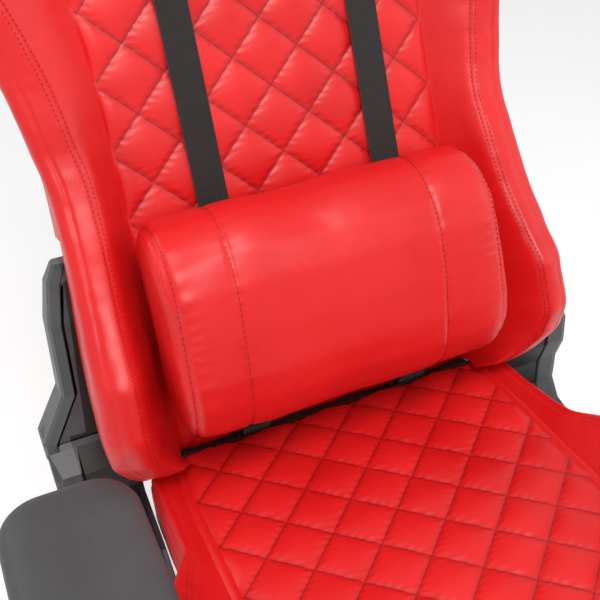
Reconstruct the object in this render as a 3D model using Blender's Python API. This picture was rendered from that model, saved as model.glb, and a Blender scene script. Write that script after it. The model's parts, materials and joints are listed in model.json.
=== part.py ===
"""A gaming chair with a racing-style back, built as its separate pieces.

The sitter faces -Y, so the sitter's right is -X. Right and left in names are the sitter's. Metres, +Z up,
and the origin is on the floor below the middle of the chair's box. The lift is at its lowest, the seat
isn't rocked back, and the back stands at BACK_RECLINE from upright.
"""

import math

import bmesh
import bpy
from mathutils import Matrix, Vector

# Driving dimensions.
COLUMN_Y = -0.125  # the gas column's axis
SEAT_HEIGHT = 0.470  # the seat's surface where the back meets it
SEAT_SETBACK = 0.220  # from the column back to that junction
SEAT_PITCH = math.radians(4.9)  # the seat rises towards the front
BACK_RECLINE = math.radians(20.7)
GAP = 0.0004  # between pieces that touch

# The base and its castors.
LEGS = 5
STEM_REACH = 0.300
WHEEL_R = 0.030
WHEEL_WIDTH = 0.018
WHEELS_APART = 0.014  # the space between a castor's two wheels
TRAIL = 0.022  # from a castor's stem back to its axle
HOOD_TOP = 0.070
STEM_R = 0.0055
SOCKET_TOP = 0.096
HUB_TOP = 0.135

# The gas column.
TUBE_R = 0.025
TUBE_BOTTOM = 0.060
TUBE_TOP = 0.270
CYLINDER_R = 0.014
CYLINDER_BOTTOM = 0.085
CYLINDER_TOP = 0.352
ROD_R = 0.005

# The rocking mechanism.
TILT_Y = COLUMN_Y - 0.060
TILT_Z = 0.376
LEVER_X = -0.050  # the height lever's pivot
LEVER_Z = 0.361
KNOB_Y = COLUMN_Y - 0.100

# The back, measured from the junction: s up along the back, n out of it towards the sitter.
PIVOT_S = 0.030
PIVOT_N = -0.045
PAD_REAR = -0.045  # where the front pad meets the rear shell
SHELL_REAR = -0.090
FOOT_R = 0.034  # the back's rounded foot, about the recliner rod
HINGE_SIDE = 0.2075  # the back's half width where the hinge brackets stand beside it
HINGE_TOP = 0.239  # and how high up the back that is
PANEL = 0.163  # half the quilted panel's width
LUMBAR_HALF = 0.164
LUMBAR_SHIFT = -0.006  # the pillow sits a little to the sitter's right
STRAP_X = (-0.082, 0.099)
STRAP_WIDTH = 0.030
STRAP_THICK = 0.002
STRAP_OFF = 0.004  # the strap stands this far off the pad, which its quilting fills
STRAP_TOP = 0.640

# Layers of the hinge, outwards from the middle.
LOWER_PLATE_X = (0.2085, 0.2130)
UPPER_PLATE_X = (0.2140, 0.2185)
COVER_X = 0.2195
HUB_COVER_X = 0.289

# The armrests.
ARM_X = 0.291
ARM_Y = SEAT_SETBACK + COLUMN_Y - 0.300
PAD_TOP = 0.672
SLEEVE = (0.030, 0.070)
SLEEVE_WALL = 0.005

JUNCTION = Vector((0, COLUMN_Y + SEAT_SETBACK, SEAT_HEIGHT))
SEAT_FORWARD = Vector((0, -math.cos(SEAT_PITCH), math.sin(SEAT_PITCH)))
SEAT_UP = Vector((0, math.sin(SEAT_PITCH), math.cos(SEAT_PITCH)))
BACK_UP = Vector((0, math.sin(BACK_RECLINE), math.cos(BACK_RECLINE)))
BACK_OUT = Vector((0, -math.cos(BACK_RECLINE), math.sin(BACK_RECLINE)))
X, Y, Z = Vector((1, 0, 0)), Vector((0, 1, 0)), Vector((0, 0, 1))

MATERIALS = {
    "leather": ((0.74, 0.05, 0.05), 0.42, 0.0),
    "nylon": ((0.045, 0.046, 0.048), 0.50, 0.0),
    "cover_plastic": ((0.10, 0.105, 0.11), 0.45, 0.0),
    "wheel_plastic": ((0.06, 0.06, 0.062), 0.35, 0.0),
    "arm_foam": ((0.12, 0.125, 0.13), 0.55, 0.0),
    "steel": ((0.03, 0.03, 0.032), 0.40, 0.6),
    "bright_steel": ((0.62, 0.63, 0.65), 0.25, 1.0),
    "webbing": ((0.035, 0.033, 0.032), 0.85, 0.0),
    "board": ((0.08, 0.07, 0.06), 0.85, 0.0),
}


# Frames of reference.


def seat_point(x, q, h):
    """A point x across, q forwards from the junction along the seat and h above its surface."""
    return JUNCTION + x * X + q * SEAT_FORWARD + h * SEAT_UP


def back_point(x, s, n):
    """A point x across, s up the back from the junction and n out of it towards the sitter."""
    return JUNCTION + x * X + s * BACK_UP + n * BACK_OUT


def near_junction(x, y, z):
    """A point measured from the junction along the world's axes."""
    return JUNCTION + Vector((x, y, z))


PIVOT = back_point(0, PIVOT_S, PIVOT_N)


def clear_scene():
    for obj in list(bpy.data.objects):
        bpy.data.objects.remove(obj)


def make_materials():
    for name, (colour, roughness, metallic) in MATERIALS.items():
        material = bpy.data.materials.new(name)
        material.use_nodes = True
        shader = material.node_tree.nodes["Principled BSDF"]
        shader.inputs["Base Color"].default_value = (*colour, 1)
        shader.inputs["Roughness"].default_value = roughness
        shader.inputs["Metallic"].default_value = metallic


def axis(name, place, parent=None, rotation=(0, 0, 0)):
    """An empty on a joint's axis, which the pieces that turn or slide there are parented to."""
    empty = bpy.data.objects.new(name, None)
    bpy.context.scene.collection.objects.link(empty)
    empty.parent = parent
    turned_about = Matrix.Rotation(rotation[0], 4, "X") @ Matrix.Rotation(rotation[2], 4, "Z")
    world = Matrix.Translation(place) @ turned_about
    bpy.context.view_layer.update()
    empty.matrix_world = world
    bpy.context.view_layer.update()
    return empty


# Solids. Each builder returns a bmesh in world coordinates, and piece() makes it an object.


def piece(name, bm, material, parent, smooth=None):
    bmesh.ops.remove_doubles(bm, verts=bm.verts, dist=1e-6)
    bmesh.ops.triangulate(bm, faces=bm.faces)
    bmesh.ops.recalc_face_normals(bm, faces=bm.faces)
    if bm.calc_volume(signed=True) < 0:
        bmesh.ops.reverse_faces(bm, faces=bm.faces)
    mesh = bpy.data.meshes.new(name)
    bm.to_mesh(mesh)
    bm.free()
    mesh.transform(parent.matrix_world.inverted())
    mesh.materials.append(bpy.data.materials[material])
    if smooth:
        mesh.shade_smooth()
        mesh.set_sharp_from_angle(angle=math.radians(smooth))
    obj = bpy.data.objects.new(name, mesh)
    bpy.context.scene.collection.objects.link(obj)
    obj.parent = parent
    return obj


def tool(name, bm, parent):
    """A helper solid for a Boolean, left out of the model."""
    obj = piece(name, bm, "board", parent)
    obj.hide_render = True
    obj.display_type = "WIRE"
    return obj


def boolean(obj, other, operation):
    modifier = obj.modifiers.new(other.name, "BOOLEAN")
    modifier.operation = operation
    modifier.object = other


def cut(obj, bm, name):
    boolean(obj, tool(f"{obj.name}_{name}", bm, obj.parent), "DIFFERENCE")


def add(obj, bm, name):
    boolean(obj, tool(f"{obj.name}_{name}", bm, obj.parent), "UNION")


def skin(rings, closed=False):
    """A solid through rings of points, capped at both ends, or joined end to start."""
    bm = bmesh.new()
    loops = [[bm.verts.new(point) for point in ring] for ring in rings]
    count = len(loops)
    for i in range(count if closed else count - 1):
        a, b = loops[i], loops[(i + 1) % count]
        for j in range(len(a)):
            k = (j + 1) % len(a)
            bm.faces.new((a[j], a[k], b[k], b[j]))
    if not closed:
        bm.faces.new(loops[0])
        bm.faces.new(loops[-1])
    return bm


def prism(outline, low, high):
    """A flat outline, as a function of the height, pushed from low to high."""
    return skin([outline(low), outline(high)])


def turned(profile, centre, direction=Z, sides=28, closed=True):
    """A solid turned about a line through centre.

    profile is (radius, distance along the line), closed in itself, or
    open with both ends on the line."""
    side = direction.orthogonal().normalized()
    other = direction.cross(side)
    rings = []
    for i in range(sides):
        turn = 2 * math.pi * i / sides
        out = side * math.cos(turn) + other * math.sin(turn)
        rings.append([centre + direction * z + out * r for r, z in profile])
    if closed:
        return skin(rings, closed=True)
    bm = bmesh.new()
    loops = [[bm.verts.new(p) for p in ring] for ring in rings]
    for i in range(sides):
        a, b = loops[i], loops[(i + 1) % sides]
        for j in range(len(a) - 1):
            bm.faces.new((a[j], a[j + 1], b[j + 1], b[j]))
    bmesh.ops.remove_doubles(bm, verts=bm.verts, dist=1e-6)
    return bm


def ring_profile(inner, outer, low, high, chamfer=0.0):
    if not chamfer:
        return [(inner, low), (outer, low), (outer, high), (inner, high)]
    return [(inner, low), (outer - chamfer, low), (outer, low + chamfer), (outer, high - chamfer),
            (outer - chamfer, high), (inner, high)]


def rod(a, b, radius, sides=16):
    line = b - a
    return turned([(0, 0), (radius, 0), (radius, line.length), (0, line.length)], a, line.normalized(),
                  sides, False)


def swept(path, section, closed=False, up=X):
    """A bar along a path.

    section is a list of (sideways, upwards) points, and up is a direction that is never along the path."""
    rings = []
    for i, point in enumerate(path):
        before = path[i - 1] if i or closed else point
        after = path[(i + 1) % len(path)] if i < len(path) - 1 or closed else point
        along = (after - before).normalized()
        side = along.cross(up).normalized()
        over = side.cross(along)
        rings.append([point + side * a + over * b for a, b in section])
    return skin(rings, closed)


def circle(radius, sides, turn=0.0):
    return [(radius * math.cos(turn + 2 * math.pi * i / sides),
             radius * math.sin(turn + 2 * math.pi * i / sides))
            for i in range(sides)]


def rectangle(wide, tall):
    return [(-wide / 2, -tall / 2), (wide / 2, -tall / 2), (wide / 2, tall / 2), (-wide / 2, tall / 2)]


def rounded(wide, tall, radius, steps=3):
    """A rectangle about the origin with round corners."""
    points = []
    for corner, (sx, sy) in enumerate(((1, 1), (-1, 1), (-1, -1), (1, -1))):
        for i in range(steps + 1):
            turn = math.pi / 2 * (corner + i / steps)
            points.append((sx * (wide / 2 - radius) + radius * math.cos(turn),
                           sy * (tall / 2 - radius) + radius * math.sin(turn)))
    return points


def block(low, high):
    ring = [(low[0], low[1]), (high[0], low[1]), (high[0], high[1]), (low[0], high[1])]
    return prism(lambda z: [Vector((a, b, z)) for a, b in ring], low[2], high[2])


def between(table, at):
    """The row of a table at a value of its first column, straight between rows."""
    if at <= table[0][0]:
        return table[0][1:]
    for low, high in zip(table, table[1:]):
        if at <= high[0]:
            share = (at - low[0]) / (high[0] - low[0])
            return tuple(a + share * (b - a) for a, b in zip(low[1:], high[1:]))
    return table[-1][1:]


# The base.


def build_star_base(root):
    hub = [(0.0253, 0.072), (0.040, 0.072), (0.050, 0.085), (0.050, 0.118), (0.040, 0.131), (0.034, HUB_TOP),
           (0.0253, HUB_TOP)]
    base = piece("star_base", turned(hub, Vector((0, COLUMN_Y, 0)), sides=24), "nylon", root, 30)
    stations = [  # reach, width, underside, top
        (0.034, 0.040, 0.079, 0.127),
        (0.058, 0.060, 0.079, 0.127),
        (0.100, 0.056, 0.078, 0.124),
        (0.200, 0.046, 0.074, 0.110),
        (0.280, 0.038, 0.0715, 0.097),
        (0.318, 0.030, 0.0715, 0.092),
    ]
    for leg in range(LEGS):
        turn = Matrix.Rotation(2 * math.pi * leg / LEGS, 3, "Z")
        rings = []
        for reach, wide, low, high in stations:
            half, bevel = wide / 2, wide / 4
            section = [(-half, low), (half, low), (half, high - bevel), (half - bevel, high),
                       (bevel - half, high),
                       (-half, high - bevel)]
            rings.append([Vector((0, COLUMN_Y, 0)) + turn @ Vector((a, -reach, b)) for a, b in section])
        add(base, skin(rings), f"leg_{leg + 1}")
        stem = stem_place(leg)
        boss = [(0, 0.0705), (0.018, 0.0705), (0.018, 0.092), (0.014, 0.099), (0, 0.099)]
        add(base, turned(boss, stem, sides=20, closed=False), f"boss_{leg + 1}")
        socket = rod(stem + 0.060 * Z, stem + SOCKET_TOP * Z, STEM_R + 0.0003)
        cut(base, socket, f"socket_{leg + 1}")
    return base


def stem_place(leg):
    turn = 2 * math.pi * leg / LEGS
    return Vector((STEM_REACH * math.sin(turn), COLUMN_Y - STEM_REACH * math.cos(turn), 0))


def build_castor(leg, root):
    """A twin-wheel castor, with its wheels behind the stem, away from the column."""
    number = leg + 1
    stem = stem_place(leg)
    swivel = axis(f"castor_{number}_swivel", stem, root)
    trail = (stem - Vector((0, COLUMN_Y, 0))).normalized()
    across = Z.cross(trail)
    hub = stem + trail * TRAIL + Z * WHEEL_R
    stem_profile = [(0, 0.0645), (STEM_R, 0.0645), (STEM_R, 0.0935), (STEM_R - 0.0015, 0.095), (0, 0.095)]
    piece(f"castor_{number}_stem", turned(stem_profile, stem, sides=12, closed=False), "bright_steel",
          swivel, 30)

    def hood_arc(radius, steps):
        return [hub + radius * (math.cos(a) * trail + math.sin(a) * Z)
                for a in (math.radians(5 + (205 - 5) * i / steps) for i in range(steps + 1))]

    outer, inner = hood_arc(0.0350, 10), hood_arc(0.0315, 10)
    outline = outer + inner[::-1]
    reach = WHEEL_WIDTH + WHEELS_APART / 2
    hood = piece(f"castor_{number}_hood",
                 prism(lambda w: [p + across * w for p in outline], -reach, reach), "nylon", swivel, 30)
    web = [hub + 0.0335 * (math.cos(a) * trail + math.sin(a) * Z)
           for a in (math.radians(-60 + 265 * i / 10) for i in range(11))]
    half_web = WHEELS_APART / 2 - 0.001
    add(hood, prism(lambda w: [p + across * w for p in web], -half_web, half_web), "web")
    neck = [(0, 0.050), (0.0065, 0.050), (0.0065, 0.058), (0.0115, 0.062), (0.0115, HOOD_TOP), (0, HOOD_TOP)]
    add(hood, turned(neck, stem, sides=16, closed=False), "neck")
    cut(hood, rod(stem + 0.0640 * Z, stem + 0.080 * Z, STEM_R + 0.0003, 12), "stem_bore")
    cut(hood, rod(hub - across * 0.03, hub + across * 0.03, 0.0045, 12), "axle_bore")
    spin = axis(f"castor_{number}_axle", hub, swivel)
    inside, outside, axle = WHEELS_APART / 2, reach, 0.0040
    half = [(axle, inside), (0.027, inside), (WHEEL_R, inside + 0.003), (WHEEL_R, outside - 0.004),
            (0.027, outside), (0, outside)]
    profile = [(r, -w) for r, w in reversed(half)] + half
    piece(f"castor_{number}_wheels", turned(profile, hub, across, 18, False), "wheel_plastic", spin, 30)


# The gas column.


def build_column(root, spindle, lift, sleeve):
    centre = Vector((0, COLUMN_Y, 0))
    inside = TUBE_R - 0.0025
    tube = [(0.0055, TUBE_BOTTOM), (TUBE_R, TUBE_BOTTOM), (TUBE_R, TUBE_TOP), (inside, TUBE_TOP),
            (inside, TUBE_BOTTOM + 0.004), (0.0055, TUBE_BOTTOM + 0.004)]
    piece("column_tube", turned(tube, centre), "steel", root, 30)
    bush = [(CYLINDER_R + 0.0004, 0.222), (inside - 0.0003, 0.222), (inside - 0.0003, TUBE_TOP + GAP),
            (TUBE_R, TUBE_TOP + GAP), (TUBE_R, TUBE_TOP + 0.003), (CYLINDER_R + 0.0004, TUBE_TOP + 0.003)]
    piece("column_bush", turned(bush, centre), "nylon", root, 30)
    low = TUBE_BOTTOM + 0.004 + GAP
    piece("thrust_bearing", turned(ring_profile(0.0060, 0.0150, low, low + 0.007, 0.001), centre, sides=20),
          "bright_steel", root, 30)
    shoulder = low + 0.007 + GAP
    piston = [(0, 0.054), (0.0045, 0.054), (0.0045, shoulder), (0.0085, shoulder), (0.0085, shoulder + 0.005),
              (ROD_R, shoulder + 0.005), (ROD_R, 0.244), (0.0105, 0.244), (0.0105, 0.252), (0, 0.252)]
    piece("piston_rod", turned(piston, centre, sides=16, closed=False), "bright_steel", spindle, 30)
    bore, seat = 0.0115, 0.0045
    cylinder = [(ROD_R + 0.0005, CYLINDER_BOTTOM), (CYLINDER_R, CYLINDER_BOTTOM), (CYLINDER_R, 0.300),
                (0.0130, CYLINDER_TOP), (seat, CYLINDER_TOP), (seat, 0.331), (bore, 0.331),
                (bore, CYLINDER_BOTTOM + 0.006), (ROD_R + 0.0005, CYLINDER_BOTTOM + 0.006)]
    piece("gas_cylinder", turned(cylinder, centre), "steel", lift, 30)
    sleeves = [("cover_lower", 0.0340, 0.0365, HUB_TOP + GAP, 0.222, root),
               ("cover_middle", 0.0307, 0.0332, 0.160, 0.248, sleeve),
               ("cover_upper", 0.0274, 0.0299, 0.200, 0.2945, lift)]
    for name, inner, outer, bottom, top, parent in sleeves:
        piece(name, turned(ring_profile(inner, outer, bottom, top, 0.0008), centre, sides=32), "nylon",
              parent, 30)


# The rocking mechanism under the seat.


def build_mechanism(lift, button, lever):
    centre = Vector((0, COLUMN_Y, 0))
    side = [(-0.118, 0.332), (-0.090, 0.322), (0.050, 0.322), (0.078, 0.330), (0.078, 0.346), (0.050, 0.358),
            (-0.005, 0.371), (-0.036, 0.386), (-0.084, 0.388), (-0.118, 0.372)]
    wide = 0.054
    housing = piece("mechanism_housing",
                    prism(lambda x: [Vector((x, COLUMN_Y + y, z)) for y, z in side], -wide, wide), "steel",
                    lift)
    pocket = [(-0.113, 0.336), (-0.090, 0.327), (0.050, 0.327), (0.073, 0.334), (0.073, 0.42), (-0.113, 0.42)]
    cut(housing,
        prism(lambda x: [Vector((x, COLUMN_Y + y, z)) for y, z in pocket], -wide + 0.004, wide - 0.004),
        "pocket")
    socket = [(0, 0.295), (0.023, 0.295), (0.026, 0.306), (0.026, 0.345), (0, 0.345)]
    add(housing, turned(socket, centre, sides=24, closed=False), "socket")
    taper = [(0, 0.290), (CYLINDER_R + 0.0003, 0.290), (CYLINDER_R + 0.0003, 0.300), (0.0133, 0.353),
             (0, 0.353)]
    cut(housing, turned(taper, centre, sides=28, closed=False), "taper")
    shaft_hole = rod(Vector((-0.08, TILT_Y, TILT_Z)), Vector((0.08, TILT_Y, TILT_Z)), 0.0065)
    cut(housing, shaft_hole, "shaft_hole")
    cut(housing, block((-0.08, COLUMN_Y - 0.009, LEVER_Z - 0.008),
                       (LEVER_X + 0.003, COLUMN_Y + 0.009, 0.40)), "lever_slot")
    cut(housing, block((-0.012, KNOB_Y - 0.0125, 0.30), (0.012, KNOB_Y + 0.022, 0.345)), "bolt_slot")
    pin = rod(Vector((0, COLUMN_Y, CYLINDER_TOP - 0.012)), Vector((0, COLUMN_Y, CYLINDER_TOP + 0.004)),
              0.0038, 12)
    piece("release_button", pin, "nylon", button, 30)
    path = [Vector((x, COLUMN_Y, z)) for x, z in
            ((0.010, LEVER_Z), (LEVER_X, LEVER_Z), (-0.150, LEVER_Z), (-0.175, LEVER_Z - 0.012),
             (-0.235, LEVER_Z - 0.022))]
    handle = piece("height_lever", swept(path, circle(0.0035, 10), up=Y), "steel", lever, 30)
    grip = [(0, 0), (0.006, 0), (0.009, 0.004), (0.008, 0.052), (0, 0.056)]
    along = (path[-1] - path[-2]).normalized()
    add(handle, turned(grip, path[-1] - along * 0.006, along, 12, False), "grip")


def build_tilt_parts(lift, tilt, knob):
    """What joins the seat to the mechanism: the plate, its shaft, the spring and the tension knob."""
    ears, thick = 0.0605, 0.004
    plate_low, plate_high = -0.0925, -0.0890
    outline = [(0.095, 0.100), (0.095, 0.335), (-0.095, 0.335), (-0.095, 0.100)]
    plate = piece("seat_plate",
                  prism(lambda h: [seat_point(x, q, h) for x, q in outline], plate_low, plate_high),
                  "steel", tilt)
    tilt_q = 0.282
    for side in (-1, 1):
        ear = [(tilt_q - 0.050, -0.091), (tilt_q + 0.045, -0.091), (tilt_q + 0.020, -0.128),
               (tilt_q - 0.024, -0.128)]
        low, high = sorted((side * (ears - thick), side * ears))
        add(plate, prism(lambda x: [seat_point(x, q, h) for q, h in ear], low, high), f"ear_{side}")
    hole = rod(Vector((-0.08, TILT_Y, TILT_Z)), Vector((0.08, TILT_Y, TILT_Z)), 0.0062)
    cut(plate, hole, "shaft_hole")
    piece("tilt_shaft", rod(Vector((-0.064, TILT_Y, TILT_Z)), Vector((0.064, TILT_Y, TILT_Z)), 0.0058),
          "bright_steel", tilt, 30)
    bolt_top = 0.3995
    profile = [(0, 0.262), (0.020, 0.262), (0.026, 0.268), (0.026, 0.288), (0.022, 0.292), (0.0045, 0.292),
               (0.0045, bolt_top), (0, bolt_top)]
    piece("tension_knob", turned(profile, Vector((0, KNOB_Y, 0)), sides=20, closed=False), "nylon", knob, 30)
    turns, steps, low, high = 3, 10, 0.2945, 0.3185
    coil = []
    for i in range(turns * steps + 1):
        a = 2 * math.pi * i / steps
        z = low + (high - low) * i / (turns * steps)
        coil.append(Vector((0.0125 * math.cos(a), KNOB_Y + 0.0125 * math.sin(a), z)))
    piece("tilt_spring", swept(coil, circle(0.0018, 6), up=Z), "bright_steel", lift, 40)


# The seat.

# q, half width, half panel, rise of the side bolster, fall of the surface, fall of the bottom edge
SEAT_LEVELS = [
    (-0.012, 0.188, 0.172, 0.000, 0.004, 0.070),
    (-0.006, 0.198, 0.178, 0.001, 0.000, 0.082),
    (0.006, 0.204, 0.180, 0.001, 0.000, 0.086),
    (0.080, 0.206, 0.181, 0.006, 0.000, 0.088),
    (0.122, 0.208, 0.181, 0.013, 0.000, 0.088),
    (0.155, 0.228, 0.181, 0.022, 0.000, 0.088),
    (0.200, 0.250, 0.181, 0.032, 0.000, 0.088),
    (0.270, 0.263, 0.181, 0.040, 0.000, 0.088),
    (0.350, 0.264, 0.180, 0.040, 0.000, 0.088),
    (0.420, 0.259, 0.174, 0.033, 0.002, 0.088),
    (0.465, 0.249, 0.165, 0.022, 0.007, 0.087),
    (0.495, 0.234, 0.150, 0.008, 0.018, 0.084),
    (0.512, 0.214, 0.135, 0.000, 0.038, 0.076),
]


def seat_section(level):
    """Half of the seat's outline across x, from the middle of the top to the middle of the bottom."""
    q, half, panel, rise, fall, bottom = level
    wide = half - panel
    top = -fall
    deep = min(0.028, (bottom - fall) * 0.4)
    return q, [(0, top), (panel * 0.6, top), (panel, top), (panel + 0.30 * wide, top + 0.45 * rise),
               (panel + 0.62 * wide, top + 0.95 * rise), (half - 0.16 * wide, top + 0.90 * rise),
               (half, top + 0.3 * rise - deep * 0.5), (half, -bottom + deep), (half - 0.010, -bottom)]


def mirrored(half):
    """A ring from one half of it, whose first point and last edge cross the middle."""
    return half + [(-x, y) for x, y in reversed(half) if x > 1e-9]


def build_seat(tilt):
    rings = []
    for level in SEAT_LEVELS:
        q, half = seat_section(level)
        rings.append([seat_point(x, q, h) for x, h in mirrored(half)])
    cushion = piece("seat_cushion", skin(rings), "leather", tilt, 50)
    hollow = [(-0.186, 0.034), (0.186, 0.034), (0.186, 0.470), (-0.186, 0.470)]
    cut(cushion, prism(lambda h: [seat_point(x, q, h) for x, q in hollow], -0.12, -0.050), "hollow")
    board = [(-0.1845, 0.0355), (0.1845, 0.0355), (0.1845, 0.4685), (-0.1845, 0.4685)]
    piece("seat_board", prism(lambda h: [seat_point(x, q, h) for x, q in board], -0.0885, -0.0815), "board",
          tilt)
    ring = [seat_point(x, 0.252 + q, -0.0650) for x, q in rounded(0.330, 0.392, 0.045, 4)]
    frame = piece("seat_frame", swept(ring, circle(0.011, 8, math.pi / 8), closed=True, up=SEAT_UP),
                  "steel", tilt, 40)
    for i, q in enumerate((0.160, 0.315)):
        add(frame, rod(seat_point(-0.163, q, -0.0650), seat_point(0.163, q, -0.0650), 0.0095, 8),
            f"rail_{i + 1}")


# The back.

BACK_LEVELS = [  # s, half width, half panel, rise of the side bolster
    (0.005, 0.199, PANEL, 0.014),
    (0.014, 0.213, PANEL, 0.044),
    (0.030, 0.229, PANEL, 0.064),
    (0.050, 0.239, PANEL, 0.083),
    (0.080, 0.242, PANEL, 0.097),
    (0.120, 0.240, PANEL, 0.097),
    (0.160, 0.237, PANEL, 0.078),
    (0.205, 0.233, PANEL, 0.059),
    (0.250, 0.230, PANEL, 0.047),
    (0.290, 0.229, PANEL, 0.035),
    (0.330, 0.234, PANEL, 0.028),
    (0.375, 0.241, PANEL, 0.027),
    (0.420, 0.252, 0.166, 0.033),
    (0.470, 0.267, 0.170, 0.042),
    (0.520, 0.275, 0.172, 0.046),
    (0.570, 0.268, 0.166, 0.042),
    (0.620, 0.240, 0.152, 0.032),
    (0.670, 0.207, 0.132, 0.022),
    (0.720, 0.184, 0.116, 0.018),
    (0.780, 0.168, 0.106, 0.016),
    (0.830, 0.148, 0.092, 0.011),
    (0.858, 0.112, 0.068, 0.004),
]
BOTTOM_TURNS = (84, 66)  # degrees down the back's rounded foot, whose middle is the pivot


def foot_bulge(s):
    """Half the depth of the foot's circle at s."""
    return math.sqrt(max(0.0, FOOT_R ** 2 - (s - PIVOT_S) ** 2))


def panel_n(s):
    """The middle panel's surface, which falls back to the round foot."""
    if s < PIVOT_S:
        return PIVOT_N + foot_bulge(s)
    return (PIVOT_N + FOOT_R) * max(0.0, (0.110 - s) / (0.110 - PIVOT_S)) ** 1.5


def rear_n(s):
    """The rear shell's surface, which comes forward to the foot."""
    if s < PIVOT_S:
        return PIVOT_N - foot_bulge(s)
    foot = PIVOT_N - FOOT_R
    return SHELL_REAR + (foot - SHELL_REAR) * max(0.0, (0.120 - s) / (0.120 - PIVOT_S)) ** 1.5


def back_side(s, half):
    """The back's half width behind its bolster: narrow beside the hinge, full above it."""
    return HINGE_SIDE if s < HINGE_TOP else half - 0.006


UNDERSIDE = [  # s, n of the side bolster's rear edge, which stays clear of the hinge's round hub
    (0.050, 0.020),
    (0.075, 0.012),
    (0.100, -0.002),
    (0.125, -0.008),
    (0.250, -0.008),
    (0.300, -0.012),
]


def front_section(s, half, panel, rise):
    """Half of the front pad's outline across x, as (x, n), from mid front to mid rear."""
    crest = half - 0.030
    side = min(back_side(s, half), half - 0.004)
    behind, = between(UNDERSIDE, s)
    if rise < behind + 0.02:
        behind = 0.2 * rise - 0.012
    low = panel_n(s)
    run = crest - panel
    lift = rise - low
    return [(0, low), (panel * 0.6, low), (panel, low), (panel + 0.38 * run, low + 0.45 * lift),
            (crest - 0.010, low + 0.90 * lift), (crest + 0.004, rise), (half - 0.006, low + 0.90 * lift),
            (half, behind + 0.66 * (rise - behind)), (half - 0.003, behind), (side, behind - 0.002),
            (side, PAD_REAR)]


def foot_levels():
    """How far up the back each ring below the lowest of BACK_LEVELS is."""
    return [PIVOT_S - FOOT_R * math.sin(math.radians(a)) for a in BOTTOM_TURNS]


def harness_hole(x_side, out, n_low, n_high):
    """The slot through the back beside the head, which a strap passes through."""
    corners = [(0.050 - out, 0.610 - out), (0.128 + out, 0.628 - out), (0.134 + out, 0.672 + out),
               (0.056 - out, 0.654 + out)]
    return prism(lambda n: [back_point(x_side * x, s, n) for x, s in corners], n_low, n_high)


def build_back(recline):
    rings = []
    for s in foot_levels():
        front = panel_n(s)
        half = [(0, front), (PANEL * 0.6, front), (PANEL, front)]
        half += [(PANEL + 0.030 * k / 6, front) for k in range(1, 7)]
        half += [(0.1945, (front + PAD_REAR) / 2), (0.1945, PAD_REAR)]
        rings.append([back_point(x, s, n) for x, n in mirrored(half)])
    levels = list(BACK_LEVELS)
    for s in (HINGE_TOP - 0.001, HINGE_TOP):
        levels.append((s, *between(BACK_LEVELS, s)))
    for level in sorted(levels):
        rings.append([back_point(x, level[0], n) for x, n in mirrored(front_section(*level))])
    top = back_point(0, 0.872, -0.020)
    rings.append([top + (point - top) * 0.55 + 0.006 * BACK_UP for point in rings[-1]])
    pad = piece("back_pad", skin(rings), "leather", recline, 50)
    shell_rings, cavity_rings = [], []
    for s in foot_levels():
        shell_rings.append(shell_ring(s, 0.1945, rear_n(s), 0.0005))
    for s, half, _, _ in sorted(levels):
        rear, soft = rear_n(s), min(0.022, 0.3 * (PAD_REAR - rear_n(s)))
        side = min(back_side(s, half), half - 0.004)
        shell_rings.append(shell_ring(s, side, rear, soft))
        if 0.02 < s < 0.84:
            inside = s + 0.004 if abs(s - HINGE_TOP) < 0.002 else min(s, 0.822)
            cavity_rings.append(shell_ring(inside, side - 0.004, rear + 0.004, soft * 0.9, PAD_REAR + 0.010))
    shell_rings.append(shell_ring(0.868, 0.080, SHELL_REAR + 0.014, 0.012))
    shell = piece("back_shell", skin(shell_rings), "leather", recline, 50)
    for obj in (pad, shell):
        cut(obj, rod(PIVOT - 0.3 * X, PIVOT + 0.3 * X, 0.0090, 14), "rod_channel")
    cut(shell, skin(cavity_rings), "cavity")
    for label, side in (("right", -1), ("left", 1)):
        cut(pad, harness_hole(side, 0, 0.08, -0.12), f"harness_hole_{label}")
        cut(shell, harness_hole(side, 0, 0.08, -0.12), f"harness_hole_{label}")
    hoop = [(0.150, 0.066), (0.186, 0.100), (0.186, 0.250), (0.196, 0.400), (0.226, 0.500), (0.216, 0.580),
            (0.168, 0.660), (0.150, 0.735), (0.128, 0.785), (0.090, 0.798)]
    path = [back_point(x, s, -0.0660) for x, s in hoop + [(-x, s) for x, s in reversed(hoop)]]
    frame = piece("back_frame", swept(path, circle(0.0100, 8, math.pi / 8), closed=True, up=BACK_OUT),
                  "steel",
                  recline, 40)
    for i, (s, half) in enumerate(((0.300, 0.186), (0.560, 0.218))):
        add(frame, rod(back_point(-half, s, -0.0660), back_point(half, s, -0.0660), 0.0080, 8),
            f"rail_{i + 1}")
    for label, side in (("right", -1), ("left", 1)):
        for i, s in enumerate((0.120, 0.190)):
            stud = rod(back_point(side * 0.180, s, -0.066),
                       back_point(side * (UPPER_PLATE_X[0] - GAP), s, -0.066), 0.0055, 10)
            add(frame, stud, f"stud_{label}_{i + 1}")
            hole = rod(back_point(side * 0.190, s, -0.066), back_point(side * 0.23, s, -0.066), 0.0062, 10)
            cut(shell, hole, f"stud_hole_{label}_{i + 1}")
    for modifier in shell.modifiers:
        modifier.solver = "MANIFOLD"


def shell_ring(s, side, rear, soft, front=PAD_REAR - 0.0005):
    """A ring of the rear shell, whose back edges are rounded off by soft."""
    half = [(0, front), (side * 0.5, front), (side, front), (side, (front + rear + soft) / 2),
            (side, rear + soft),
            (side - 0.35 * soft, rear + 0.3 * soft), (side - soft * 1.2, rear), (side * 0.4, rear)]
    return [back_point(x, s, n) for x, n in mirrored(half)]


# The lumbar pillow and its straps.


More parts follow.
